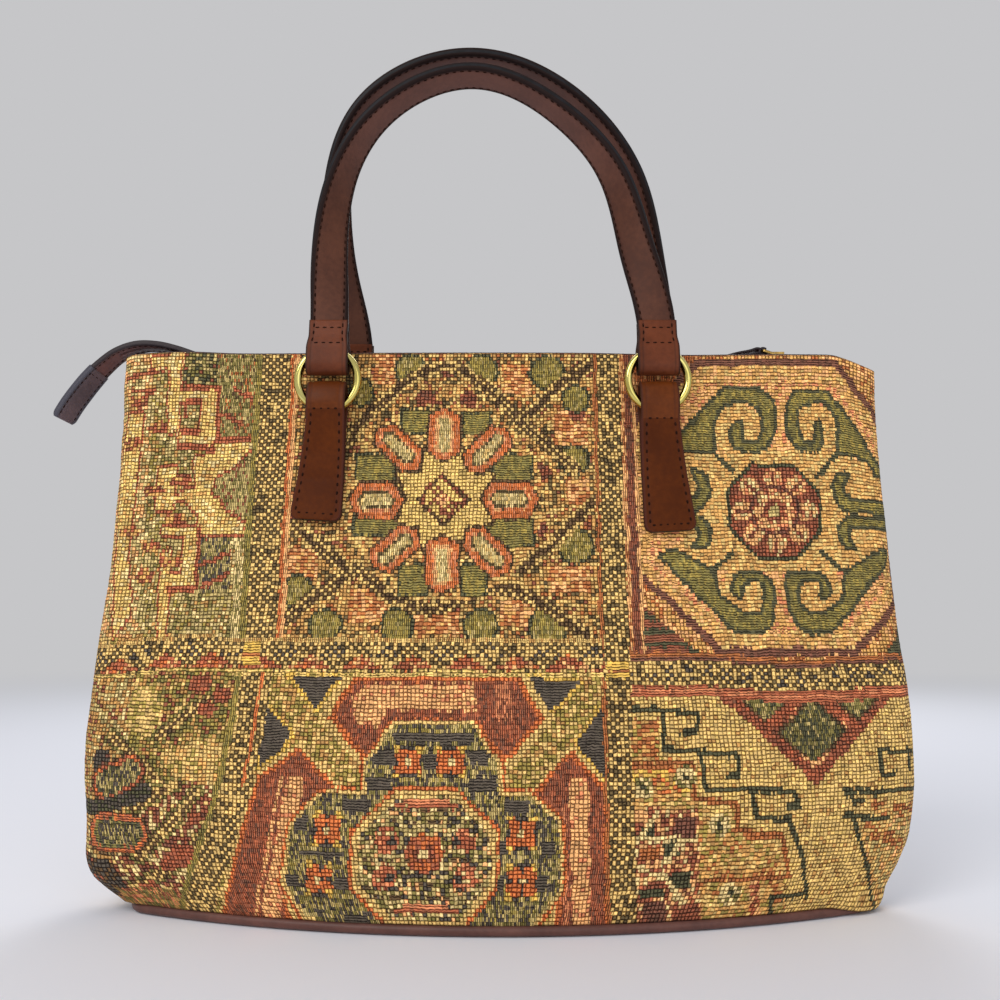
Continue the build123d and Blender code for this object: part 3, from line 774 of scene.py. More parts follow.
# %% Bottom middle: the trefoil medallion
def medallion_patch(c):
    here = between(c.x, -140, 47) & (c.z < 111.6)
    c.tweed(here, gold=3, olive=4, tan=2)
    for points in (
        ((-97, 111), (-72, 111), (-85, 97)), ((10, 111), (37, 108), (23, 96)),
        ((-110, 100), (-110, 70), (-95, 84)), ((48, 99), (48, 64), (35, 82)),
    ):
        c.outline(points, 1.6, "yellow")
        c.paint(c.inside(*points), "slate", "level")
    upper = ((-68, 111), (8, 111), (21, 92), (2, 73), (-12, 89), (-48, 89), (-60, 73), (-79, 92))
    c.outline(upper, 3.4, "gold")
    c.paint(c.inside(*upper), "orange")
    c.tweed(c.within(upper, 2.4), "upright", maroon=4, brick=3, plum=1)
    bar = c.box(-62, -11, 96, 108)
    bar |= c.inside((-68, 102), (-60, 108), (-52, 96), (-56, 88), (-66, 91))
    c.tweed(bar, peach=5, salmon=1)
    c.tweed(c.box(-2, 6, 92, 108), "upright", salmon=2, maroon=2)
    left = (
        (-91, 80), (-72, 60), (-82, 55), (-92, 40), (-98, 22), (-92, 2), (-128, -5), (-118, 40),
        (-111, 66),
    )
    right = ((32, 79), (48, 61), (48, -5), (22, -5), (26, 22), (27, 42), (14, 60))
    for wedge in (left, right):
        c.outline(wedge, 1.8, "gold")
        c.paint(c.inside(*wedge), "orange")
        c.tweed(c.within(wedge, 2.0), "upright", maroon=4, brick=3, plum=1)
    strip = c.x + (65 - c.z) * 0.17
    for x0, x1 in ((-97, -88), (-100.5, -98.5)):
        c.tweed(between(strip, x0, x1) & (c.z < 66) & here, peach=5, salmon=1)
    c.tweed(c.box(31, 39.5, -5, 66), peach=5, salmon=1)
    c.tweed(c.box(27.5, 29.5, -5, 55), "upright", salmon=2, maroon=1)
    trefoil = (
        (-48, 89), (-13, 89), (-1, 73), (-1, 60), (14, 59), (25, 48), (27, 34), (26, 20), (15, 6),
        (0, 3),
        (-68, 3), (-86, 6), (-96, 20), (-93, 45), (-82, 58), (-60, 60), (-60, 73),
    )
    c.outline(trefoil, 3.0, "orange")
    c.outline(trefoil, 1.7, "gold")
    body = c.inside(*trefoil)
    c.tweed(body, "upright", slate=3, moss=3, sage=2)
    rows = ((c.z / 4.2) % 1) > 0.55
    c.tweed(body & rows, "upright", sage=3, slate=2, olive=2)
    for x0, x1, z0, z1 in (
        (-58, -47, 72, 79), (-14, -5, 72, 79), (-60, -48, 61, 67), (-14, -2, 61, 67),
        (-34, -28, 70, 78),
        (-92, -86, 43, 50), (-70, -60, 52, 58), (2, 13, 52, 58), (-97, -90, 19, 25),
        (-73, -66, 19, 25),
        (-90, -70, 32, 34), (-8, 2, 19, 25), (15, 22, 19, 25), (18, 24, 34, 41), (-2, 3, 34, 41),
        (-68, -58, 5, 9),
    ):
        c.paint(c.box(x0, x1, z0, z1) & body, "slate", "level")
    c.paint(c.reach((-46, 84), (-14, 84)) < 2.2, "slate", "level")
    for x, z in ((-41.5, 73.5), (-22, 73.5), (-77, 44), (-80, 23), (9.5, 43.5), (9.5, 23)):
        cross_flower(c, x, z)
    ring = ((-45, 60), (-20, 60), (-3, 43), (-3, 21), (-18, 5), (-48, 5), (-64, 21), (-64, 43))
    c.outline(ring, 3.0, "orange")
    c.outline(ring, 1.5, "gold")
    disc = c.within(ring, 1.4)
    c.tweed(disc, cream=2, sage=3, peach=1, slate=2, moss=2)
    c.paint(disc & (((c.z / 5.3) % 1) > 0.8), "umber", "level")
    for x, z in ((-50, 40), (-16, 40), (-51, 25), (-15, 25)):
        c.tweed(c.disc(x, z, 5.4), brick=3, salmon=2, cream=1)
        c.paint(c.disc(x + (3 if x < -30 else -3), z - 0.5, 2), "slate")
    for angle in range(0, 360, 45):
        a = math.radians(angle)
        c.tweed(c.disc(-33.5 + 6.4 * math.cos(a), 34.5 + 6.4 * math.sin(a), 2.8), brick=3, orange=2)
    c.tweed(c.disc(-33.5, 34.5, 4.6), maroon=3, orange=1)
    c.paint(c.disc(-33.5, 34.5, 2.4), "cream")
    for z in (10.5, 54.5):
        c.paint(c.reach((-46, z), (-20, z)) < 1.1, "brick", "level")
        c.paint(c.reach((-42, z + 2.4), (-24, z + 2.4)) < 1.0, "salmon", "level")


# %% Bottom right: gold ground with dark green keys
def key_patch(c):
    here = (c.x > 60) & (c.z < 102)
    c.tweed(here, gold=6, straw=3, tan=1)
    warm = c.inside(
        (60, 76), (90, 74), (92, 52), (108, 50), (110, 38), (128, 36), (130, -5), (60, -5)
    )
    c.tweed(warm, "flat", gold=3, amber=2, tan=4, olive=2, rust=1)
    c.tweed(c.box(60, 72, 76, 92), "flat", rust=3, amber=2, olive=2)
    c.tweed(c.box(60, 89, 60, 72), "flat", orange=2, yellow=2, tan=2, rust=1)
    for line in (
        [(58, 72), (87, 72), (88, 57), (107, 55), (108, 42), (128, 40), (131, 22)],
        [(92, 22), (132, 22)], [(111, 40), (124, 40)],
    ):
        c.line(line, 1.2, "rust")
    keys = (
        [(58, 97), (75, 96), (90, 93.5), (90, 86), (83, 86)],
        [(75, 96), (74, 79), (94, 77), (109, 75), (109, 66), (103.5, 66)],
        [(92, 77), (92.5, 61), (135, 59), (137, 52), (131, 52)],
        [(114.5, 60), (116, 47.5), (132, 47), (137, 30), (141.5, 12), (122.5, 12), (122, 4)],
        [(180, 76), (215, 72)], [(180, 76), (181, 64.5), (188, 64.5)],
        [(160, 58), (215, 56)], [(160, 58), (165, 52.5), (169, 53)], [(176, 57), (178, 46)],
        [(160, 47), (183, 44)], [(164, 46), (170, 26), (175, 6)], [(196, 76), (198, 66)],
    )
    for line in keys:
        c.line(line, 1.15, "forest")
    side = c.inside((168, 42), (215, 48), (215, -5), (178, -5))
    c.tweed(side, gold=3, amber=2, sage=2, peach=1)
    for line in ([(172, 40), (190, 32)], [(176, 50), (200, 46)]):
        c.tweed(c.reach(*line) < 3.4, rust=2, amber=1, gold=1)
    stars = c.box(60, 89, -5, 53)
    c.tweed(stars, maroon=3, peach=2, cream=1, brick=1)
    for x, z, w, h, yarn in (
        (66, 43, 7, 6, "forest"), (76, 36, 7, 6, "forest"), (80, 22, 9, 8, "forest"),
        (67, 17, 12, 4, "forest"),
        (83, 44, 10, 9, "plum"), (68, 9, 10, 8, "plum"), (82, 8, 12, 7, "maroon"),
        (66, 34, 9, 5, "rust"), (63, 50, 6, 5, "peach"),
    ):
        c.paint(c.block(x, z, w, h), yarn)
    for line in (
        [(61, 40), (71, 51)], [(72, 30), (84, 40)], [(60, 28), (72, 24)], [(72, 26), (80, 14)],
        [(60, 41), (88, 39)],
    ):
        c.paint(c.reach(*line) < 1.2, "cream")
    for x, z in ((99, 45), (103, 15), (64, 62), (84, 66)):
        c.tweed(c.disc(x, z, 5), cream=2, moss=1)
        c.paint(c.disc(x, z, 1.5), "forest")
    c.tweed(c.box(112, 117, 4, 20), brick=1, peach=1)
    tri = ((100, 103), (191, 103), (146, 61))
    c.tweed(c.inside(*tri), brick=3, maroon=3)
    c.tweed(c.within(tri, 6), maroon=2, peach=2, brick=2)
    for x in (123.5, 169):
        c.paint(c.inside((x - 15, 102), (x + 15, 102), (x, 89)), "umber")
        c.tweed(
            c.inside((x - 13, 102), (x + 13, 102), (x, 91)), "upright", moss=3, sage=2, forest=2,
        )
    c.line([(124, 88), (141, 101)], 2.4, "brick")
    c.line([(168, 88), (146, 101)], 2.4, "brick")
    gem = ((146, 99.5), (162, 85), (146, 71), (130, 85))
    c.outline(gem, 1.5, "umber")
    c.tweed(c.inside(*gem), "upright", forest=3, moss=3, sage=1)
    c.tweed(c.inside((136, 76), (146, 68), (157, 77), (146, 72)), peach=2, brick=1)


# %% Left side: stepped hooks above, broken flowers below
def hook_patch(c):
    here = (c.x < -121.5) & (c.z > 128)
    c.tweed(here, sage=6, moss=2, olive=2, tan=2, cream=2)
    c.tweed(here & (c.x < -176), tan=2, peach=3, sage=3, cream=3)
    c.tweed(c.box(-143, -121, 228, 280), "upright", moss=4, sage=3, rust=1, umber=1)
    c.tweed(c.box(-160, -143, 254, 280), moss=2, forest=2, sage=2, maroon=1)
    c.tweed(c.box(-142, -122, 186, 214), "upright", sage=5, moss=2, maroon=1)
    c.tweed(c.box(-147, -130, 150, 179), "upright", slate=2, sage=3, moss=2)
    hooks = (
        c.box(-167.5, -161.3, 230, 282), c.box(-177, -161.3, 262, 268),
        c.box(-165, -142.5, 246, 251),
        c.box(-150.3, -143.2, 224, 250), c.box(-161, -143, 223.8, 228),
        c.inside(
            (-143, 224), (-121, 224), (-128, 216), (-136, 209), (-142, 207), (-152, 209),
            (-152, 216), (-141, 220),
        ),
        c.inside(
            (-150, 212), (-140, 208), (-142, 198), (-134, 190), (-124, 183), (-124, 177.5),
            (-148, 180), (-148, 188), (-156, 195), (-164, 197), (-150, 202),
        ),
        c.box(-170.5, -161.5, 191, 212), c.box(-166, -124, 177.5, 181.5),
        c.box(-155.5, -148, 152, 181),
        c.box(-162, -147, 153, 158), c.box(-165.5, -160.8, 128, 170),
        c.inside(
            (-188, 240), (-180, 240), (-182, 200), (-184, 170), (-180, 140), (-188, 128),
            (-192, 200),
        ),
    )
    for hook in hooks:
        edge = np.zeros_like(hook)
        edge[1:] |= hook[:-1]
        edge[:-1] |= hook[1:]
        edge[:, 1:] |= hook[:, :-1]
        edge[:, :-1] |= hook[:, 1:]
        c.paint(edge & ~hook, "brick")
    for hook in hooks:
        c.tweed(hook, straw=5, cream=2, amber=1)
    for line in (
        [(-160, 252.5), (-142, 252.5)], [(-142, 252), (-142, 228)], [(-142, 227), (-120.5, 226)],
        [(-158, 245), (-151, 245)], [(-158, 245), (-158, 238)], [(-160, 230), (-151, 230)],
        [(-161, 222), (-142, 222)],
        [(-147, 181), (-147, 152)], [(-161, 152), (-147, 152)], [(-144, 163), (-131, 169)],
        [(-144, 152), (-131, 159)],
        [(-134, 252), (-124, 246)], [(-140, 240), (-130, 234)], [(-190, 258), (-176, 262)],
        [(-186, 252), (-176, 250)],
    ):
        c.line(line, 1.2, "brick")
    for x, z in (
        (-172, 232), (-185, 224), (-158, 205), (-172, 172), (-174, 158), (-183, 246), (-160, 186),
        (-184, 180), (-172, 200), (-160, 165),
    ):
        c.tweed(c.disc(x, z, 5.5, 0.6), brick=2, amber=2, maroon=1)
    c.tweed(c.box(-128, -124, 128, 176), "upright", cream=2, sage=2, moss=1)


def flower_patch(c):
    low = np.clip((130 - c.z) / 120, 0, 1)
    here = (c.x + low * low * 24 < -123.5) & (c.z < 112)
    c.tweed(here, olive=4, gold=2, maroon=1, moss=3, tan=4)
    c.tweed(here & (c.x < -176), tan=4, sage=3, maroon=1, cream=1)
    c.tweed(
        c.inside((-176, 104), (-164, 106), (-160, 92), (-164, 82), (-178, 86)), "flat", gold=4,
        olive=2,
    )
    c.tweed(
        c.inside((-160, 74), (-146, 82), (-120, 80), (-118, 62), (-150, 62)), gold=5, amber=2,
        olive=1,
    )
    c.tweed(
        c.inside((-172, 62), (-128, 62), (-134, 40), (-142, -5), (-196, -5), (-172, 40)), maroon=3,
        plum=1, cream=2, gold=1,
    )
    for line in (
        [(-185, 82), (-170, 71), (-158, 61)], [(-160, 83), (-147, 93), (-133, 101)],
        [(-172, 50), (-150, 62)], [(-140, 58), (-155, 40), (-168, 28)],
        [(-130, 44), (-150, 24), (-175, 10)],
    ):
        d = c.reach(*line)
        c.paint((d < 3.6) & here, "moss")
        c.dots((d < 2.4) & here, "wheat", "umber")
    for x, z, r in (
        (-141, 107, 6), (-130, 102, 4.5), (-137, 96, 4), (-145, 30, 7), (-152, 26, 5),
        (-140, 47, 4), (-163, 12, 5),
    ):
        c.tweed(c.disc(x, z, r, 0.8) & here, brick=3, maroon=2)
    c.tweed(c.disc(-189, 69, 5.5, 1.4), slate=3, plum=1)
    d = c.reach((-186, 60), (-174, 66))
    c.paint(d < 8.4, "umber")
    c.tweed(d < 7.4, orange=2, brick=3)
    c.tweed(d < 5.4, "upright", sage=2, forest=2)
    c.tweed(d < 3.4, "upright", slate=2, sage=2, moss=1)
    c.tweed(c.reach((-205, 48), (-185, 50), (-166, 57)) < 3.6, slate=3, forest=2)
    c.tweed(
        c.inside((-205, 30), (-178, 24), (-172, 14), (-180, -5), (-210, -5)), slate=3, umber=2,
        maroon=1,
    )
    d = c.reach((-186, 38), (-172, 38))
    c.paint(d < 9.4, "umber")
    c.tweed(d < 8.2, "level", orange=2, brick=3)
    c.tweed(d < 6.2, "level", moss=2, forest=2)
    c.tweed(d < 4.2, "upright", sage=2, slate=3, moss=1)
    c.tweed(c.box(-178, -125, -5, 13) & here, "upright", salmon=1, moss=2, tan=2, maroon=1)


def fill_chart(x, z, seed):
    """The whole chart: ground, patches, then the columns and bands over them."""
    c = Chart(x, z, seed)
    c.tweed(np.ones_like(x, bool), gold=3, tan=2, olive=2)
    patches = (rosette_patch, horn_patch, medallion_patch, key_patch, hook_patch, flower_patch)
    for patch in (*patches, columns, bands):
        patch(c)
    return c


print("chart ready")

# %% [markdown]
# ## The tapestry front and back
# Cloth this heavy keeps its shape but puckers where it is eased into a seam, and hollows a little
# beside the side seams. A stitch is about 1.9 mm wide and 1.8 mm tall, two faces side by side.

# %% Cloth helpers
COLUMNS = 440
ROWS = 150
HALF_GIRTH = 205
MOUTH_Z = 270


def step(value, low, high):
    share = np.clip((value - low) / (high - low), 0, 1)
    return share * share * (3 - 2 * share)


def droop(x, z):
    """How far the mouth's edge hangs below the CAD's level top, in millimetres."""
    right = 7.0 * step(x, 166, 192) ** 1.2 + 0.9 * np.exp(-(((x - 92) / 34) ** 2))
    left = -1.6 * np.exp(-(((x + 164) / 22) ** 2)) + 0.8 * step(-x, 186, 196)
    return (right + left) * np.clip(z / MOUTH_Z, 0, 1) ** 5


def bulge(x, world, z, along, seam, seed):
    """How far the cloth stands out from the CAD panel, in millimetres."""
    left = step(-world, 112, 150)
    folds = ripple(along, z, seed, 5, 17, tall=4.0) * (0.25 + 0.85 * left * step(z, 120, 180))
    folds += ripple(along, z, seed + 1, 5, 24, tall=1.0) * 0.5 * left * step(-z, -110, -60)
    soft = ripple(along, z, seed + 2, 6, 62) * 0.8
    tabs = np.exp(-(((x + 85) / 20) ** 2)) + np.exp(-(((x - 78) / 20) ** 2))
    calm = 1 - np.clip(tabs, 0, 1) * step(z, 168, 184)
    ends = step(z, 5, 16) * step(-z, -266, -254)
    groove = -1.7 * np.exp(-((seam / 2.6) ** 2)) * step(z, 6, 16)
    sag = 6.5 * np.exp(-(((z - 19) / 13) ** 2)) * step(-world, 160, 186)
    over = 2.2 * step(world, 146, 166) * step(-z, -13, -5)
    return (folds + soft - 0.35) * calm * ends + groove + sag + over


def panel_grid(turn, seed):
    """Rows and columns of points of one panel, with their place on the chart."""
    share = np.linspace(-1, 1, COLUMNS + 1)
    heights = np.linspace(SEAM_Z[0], SEAM_Z[1], ROWS + 1)
    place = np.zeros((ROWS + 1, COLUMNS + 1, 3))
    chart_x = np.zeros((ROWS + 1, COLUMNS + 1))
    seam = np.zeros_like(chart_x)
    for row, height in enumerate(heights):
        x, y, along = wall_row(height)
        at = np.where(share < 0, -share * along[0], share * along[-1])
        place[row, :, 0] = np.interp(at, along, x)
        place[row, :, 1] = np.interp(at, along, y)
        place[row, :, 2] = height
        reach = np.abs(x).max() - END_RADIUS
        joint = np.interp(reach, x, along)
        round_end = np.sign(at) * (reach + np.abs(at) - joint)
        chart_x[row] = np.where(np.abs(at) < joint, place[row, :, 0], round_end)
        seam[row] = (along[-1] - np.abs(at)) / MM
    x = chart_x / MM
    z = place[..., 2] / MM
    along = share[None, :] * HALF_GIRTH + 0 * x
    run = np.gradient(place, axis=1)
    out = np.stack([run[..., 1], -run[..., 0], 0 * x], -1)
    out /= np.linalg.norm(out, axis=-1, keepdims=True)
    world = -x if turn else x
    place += out * (bulge(x, world, z, along, seam, seed) * MM)[..., None]
    place[..., 2] -= droop(world, z) * MM
    place[..., 2] -= 3.0 * MM * step(world, 150, 170) * step(-z, -14, -4)
    luck = np.random.default_rng(seed + 9)
    place += out * (luck.normal(0, 0.07 * MM, x.shape))[..., None]
    shift = luck.normal(0, 0.08 * MM, x.shape) + 0.34 * MM * ripple(along, z, seed + 3, 8, 16)
    rise = luck.normal(0, 0.16 * MM, x.shape) + 0.36 * MM * ripple(along, z, seed + 4, 8, 16)
    inner = step(seam, 0, 6)
    place[..., 0] += shift * inner * -out[..., 1]
    place[..., 1] += shift * inner * out[..., 0]
    place[..., 2] += rise * step(z, 5, 9) * step(-z, -269.5, -265)
    if turn:
        place[..., :2] *= -1
        out = out * np.array([-1, -1, 1])
    return place, out, x, z


def corners(a):
    """The four corners of each face of a grid."""
    return np.stack([a[:-1, :-1], a[:-1, 1:], a[1:, 1:], a[1:, :-1]], 2)


def quads(rows, columns):
    """The faces of a grid of points."""
    return corners(np.arange(rows * columns).reshape(rows, columns)).reshape(-1, 4).tolist()


def middles(a):
    """A value at the middle of each face of a grid."""
    return (a[1:, 1:] + a[1:, :-1] + a[:-1, 1:] + a[:-1, :-1]) / 4


def tapestry_panel(name, node, turn, seed):
    """One wall's cloth, with its turned edges, its chart and its stitches."""
    place, out, x, z = panel_grid(turn, seed)
    top = [(0.4, 0.45), (1.0, 0.6), (1.6, 0.3), (1.9, -1.5), (1.9, -8)]
    foot = [(1.9, 7), (1.9, 0.4), (1.2, 0)]
    rows = [place[0] - out[0] * n * MM + np.array([0, 0, up * MM]) for n, up in foot]
    rows += list(place)
    rows += [place[-1] - out[-1] * n * MM + np.array([0, 0, up * MM]) for n, up in top]
    grid = np.array(rows)
    side = 1 if turn else -1
    grid[..., 1] = side * np.maximum(side * grid[..., 1], 0)
    count_r, count_c = grid.shape[:2]
    pad_x = np.vstack([x[:1]] * 3 + [x] + [x[-1:]] * 5)
    below = [z[:1] + k for k in (-3, -2, -1)]
    pad_z = np.vstack(below + [z] + [z[-1:] + k for k in (1, 2, 3, 4, 6)])
    mid_x, mid_z = middles(pad_x), middles(pad_z)
    chart = fill_chart(mid_x, mid_z, seed)
    faces = quads(count_r, count_c)
    mesh = bpy.data.meshes.new(name)
    mesh.from_pydata(grid.reshape(-1, 3).tolist(), [], faces)
    mesh.polygons.foreach_set("use_smooth", [True] * len(faces))
    luck = np.random.default_rng(seed + 5)
    shade = np.clip(1 + luck.normal(0, 0.19, chart.yarn.shape), 0.5, 1.5)
    shade = np.where(chart.rib == 2, shade, np.repeat(shade[:, ::2], 2, axis=1))
    shade *= 1 + 0.06 * ripple(mid_x, mid_z, seed + 6, 6, 30)
    for layer, codes in (("yarn", chart.yarn), ("second", chart.second)):
        colour = np.ones((*codes.shape, 4))
        colour[..., :3] = yarn_table[codes] * shade[..., None]
        made = mesh.attributes.new(layer, "FLOAT_COLOR", "FACE")
        made.data.foreach_set("color", colour.ravel())
    loose = np.clip(luck.normal(0.95, 0.22, (*chart.yarn.shape, 2)), 0.35, 1.3)
    loose = np.repeat(loose[:, ::2], 2, axis=1)
    gaps = np.concatenate([chart.gaps * loose, np.zeros((*chart.yarn.shape, 1))], -1)
    mesh.attributes.new("gaps", "FLOAT_VECTOR", "FACE").data.foreach_set("vector", gaps.ravel())
    r, k = np.meshgrid(np.arange(count_r), np.arange(count_c), indexing="ij")
    sizes = ((k / 2, r), (k / 4, r * 1.45), (k * 1.0, r * 0.8))
    uv = np.stack([corners(np.stack([u, v], -1)) for u, v in sizes])
    uv = np.take_along_axis(uv, chart.rib[None, :, :, None, None], axis=0)[0]
    mesh.uv_layers.new(name="stitches").data.foreach_set("uv", uv.ravel())
    mesh.materials.append(tapestry)
    piece = placed(name, mesh)
    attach(piece, "bag")
    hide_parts(node)
    print(name, "stitches", len(faces))
    return place, out


# %% Front and back
front_grid = tapestry_panel("front_tapestry", "front_panel", False, 11)
back_grid = tapestry_panel("back_tapestry", "back_panel", True, 41)

# %% [markdown]
# ## Leather straps
# Every strap is a flat section swept along a line: two faces, a sewn channel near each side, and
# edges that are painted or rubbed dark. Stitches are short bits of thread laid in the channels.


# %% Gathering a piece
class Pile:
    """Parts of one piece in millimetres, each face with a finish and each point with its wear."""

    def __init__(self, *finishes):
        self.finishes = finishes
        self.points = []
        self.faces = []
        self.marks = []
        self.wear = []

    def add(self, points, faces, marks, wear=0.0):
        base = len(self.points)
        self.points += [tuple(p) for p in points]
        self.faces += [tuple(base + i for i in face) for face in faces]
        self.marks += list(marks) if hasattr(marks, "__len__") else [marks] * len(faces)
        self.wear += list(wear) if hasattr(wear, "__len__") else [wear] * len(points)

    def piece(self, name, body, replaced=(), slot=None, turn=False):
        mesh = bpy.data.meshes.new(name)
        points = np.array(self.points) * MM
        if turn:
            points[:, :2] *= -1
        mesh.from_pydata(points.tolist(), [], self.faces)
        for finish in self.finishes:
            mesh.materials.append(finish)
        mesh.polygons.foreach_set("material_index", self.marks)
        mesh.polygons.foreach_set("use_smooth", [True] * len(self.faces))
        mesh.attributes.new("wear", "FLOAT", "POINT").data.foreach_set("value", self.wear)
        shape = bmesh.new()
        shape.from_mesh(mesh)
        bmesh.ops.recalc_face_normals(shape, faces=shape.faces)
        shape.to_mesh(mesh)
        shape.free()
        made = placed(name, mesh)
        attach(made, body)
        if replaced:
            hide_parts(*replaced)
        print(name, "faces", len(self.faces))


def spaced(line, gap):
    """The same line with points a given gap apart."""
    line = np.array(line, float)
    far = np.concatenate([[0], np.cumsum(np.linalg.norm(np.diff(line, axis=0), axis=1))])
    at = np.linspace(0, far[-1], max(2, int(round(far[-1] / gap)) + 1))
    return np.stack([np.interp(at, far, line[:, k]) for k in range(3)], -1), at, far


def unit(v):
    return v / np.maximum(np.linalg.norm(v, axis=-1, keepdims=True), 1e-9)


# %% The strap's section
def section(half, thick, inset, channel, dome):
    """Points across (side, height) round a strap, with the wear of each."""
    r = thick * 0.7
    g = half - inset
    face = [-half + r, -half + r + 0.6, -g - 0.7, -g, -g + 0.7, -g + 1.8, -0.3 * half]
    face += [0] + [-u for u in face[::-1]]
    rub = [0.75, 0.3, 0.25, 0.5, 0.2, 0.05, 0, 0, 0, 0.05, 0.2, 0.5, 0.25, 0.3, 0.75]
    dips = [channel * math.exp(-(((abs(u) - g) / 0.5) ** 2)) for u in face]
    front = [(u, thick + dome * (1 - (u / half) ** 2) ** 2 - dip) for u, dip in zip(face, dips)]
    back = [(u, -thick + dip) for u, dip in zip(face[::-1], dips[::-1])]
    flat = thick - r
    turns = [(math.sin(a), math.cos(a)) for a in (math.radians(30), math.radians(60))]
    side = [(half - r + r * across, flat + r * up) for across, up in turns]
    side += [(half, flat), (half - 0.12, flat * 0.33), (half, 0)]
    side += [(u, -v) for u, v in side[-2::-1]]
    other = [(-u, v) for u, v in side[::-1]]
    wear = (rub + [1.0] * len(side)) * 2
    return np.array(front + side + back + other), wear, len(face), len(side)


def strap(pile, line, across, width, thick, inset=2.4, channel=0.25, dome=0.0, marks=(0, 1)):
    """A strap along a line. Returns a call that gives lines on its faces, for sewing."""
    line = np.array(line, float)
    count = len(line)
    across = unit(np.broadcast_to(np.array(across, float), (count, 3)))
    ahead = unit(np.gradient(line, axis=0))
    across = unit(across - ahead * (across * ahead).sum(-1, keepdims=True))
    normal = unit(np.cross(ahead, across))
    width = np.broadcast_to(np.array(width, float), (count,))
    thick = np.broadcast_to(np.array(thick, float), (count,))
    points = []
    wears = []
    for k in range(count):
        shape, wear, n_face, n_side = section(width[k] / 2, thick[k] / 2, inset, channel, dome)
        points.append(line[k] + across[k] * shape[:, :1] + normal[k] * shape[:, 1:])
        wears += wear
    around = len(points[0])
    faces = []
    face_marks = []
    for k in range(count - 1):
        for j in range(around):
            n = (j + 1) % around
            faces.append(
                (k * around + j, k * around + n, (k + 1) * around + n, (k + 1) * around + j),
            )
            painted = 2 <= (j - n_face) % (n_face + n_side) <= 5
            face_marks.append(marks[1] if painted else marks[0])
    faces.append(tuple(range(around)))
    faces.append(tuple((count - 1) * around + j for j in range(around)))
    face_marks += [marks[1]] * 2
    pile.add(np.vstack(points), faces, face_marks, wears)

    def on(side, face=1, first=0, last=None, sink=0.12):
        """Line on a face, side from -1 to 1 of the stitch channel."""
        where = slice(first, last)
        off = (width / 2 - inset) * side
        up = (thick / 2 - sink) * face
        spots = line + across * off[:, None] + normal * up[:, None]
        return spots[where], (normal * face)[where]

    return on


# %% Thread
def sew(pile, spots, normals, pitch=4.2, long=2.6, radius=0.42, mark=2):
    """Stitches of thread along a line that lies on a face."""
    line, at, far = spaced(spots, 0.5)
    ups = unit(np.stack([np.interp(at, far, np.array(normals)[:, k]) for k in range(3)], -1))
    count = max(1, int(round(at[-1] / pitch)))

    def spot(table, where):
        return np.array([np.interp(where, at, table[:, j]) for j in range(3)])

    ring = [(math.cos(a), math.sin(a)) for a in np.linspace(0, 2 * np.pi, 6, endpoint=False)]
    for k in range(count):
        middle = (k + 0.5) / count * at[-1]
        here = spot(line, middle)
        ahead = unit(spot(line, middle + 0.8) - spot(line, middle - 0.8))
        up = unit(spot(ups, middle))
        beside = np.cross(up, ahead)
        points = [here - ahead * long / 2 - up * radius * 0.6]
        for share, size, drop in ((-0.36, 0.75, 0.25), (0, 1.0, 0), (0.36, 0.75, 0.25)):
            for c, s in ring:
                off = (beside * c + up * (s - drop)) * radius * size
                points.append(here + ahead * long * share + off)
        points.append(here + ahead * long / 2 - up * radius * 0.6)
        faces = [(0, 1 + (j + 1) % 6, 1 + j) for j in range(6)]
        for row in range(2):
            for j in range(6):
                a, b = 1 + row * 6 + j, 1 + row * 6 + (j + 1) % 6
                faces.append((a, b, b + 6, a + 6))
        faces += [(19, 13 + j, 13 + (j + 1) % 6) for j in range(6)]
        pile.add(points, faces, mark)


def sew_across(pile, on, k, face=1, lift=0.0, **stitch):
    """A row of stitches from one channel of a strap to the other."""
    left, ups = on(-1, face, k, k + 1)
    right = on(1, face, k, k + 1)[0]
    spots = [left[0] + (right[0] - left[0]) * s + ups[0] * lift for s in np.linspace(0, 1, 6)]
    sew(pile, spots, [ups[0]] * 6, **stitch)


# %% [markdown]
# ## The handles
# Each handle is two thick layers of leather with black painted edges. It stands up from its rings
# and rolls over towards the crown. At each end one layer is folded round a ring and sewn back.

# %% Handle sizes
RING_X = (-85, 78)
RING_Y = 21.85
HANDLE_Z = 267.228
LEAN = math.radians(6.1)
ARCHES = {
    "front": [
        (-85, 11), (-86.2, 45), (-83.5, 90), (-63.5, 133.5), (-14, 158),
        (31, 136), (58.5, 99.5), (70, 55), (78, 11),
    ],
    "back": [
        (-78, 11), (-84.5, 48), (-88.5, 88), (-74, 145), (-15, 173),
        (46, 145), (70, 109.5), (80, 62), (85, 11),
    ],
}
WIDE, NARROW, THICK = 18.9, 17.4, 4.8
ROLL = math.radians(88)
LOOP = [(2.5, 17), (2.5, 14.5), (2.5, 9.5), (3.6, 4), (3.8, 0), (3.8, -6.3), (2.7, -9)]
LOOP += [(0, -10.1)] + [(-u, v) for u, v in LOOP[::-1]]


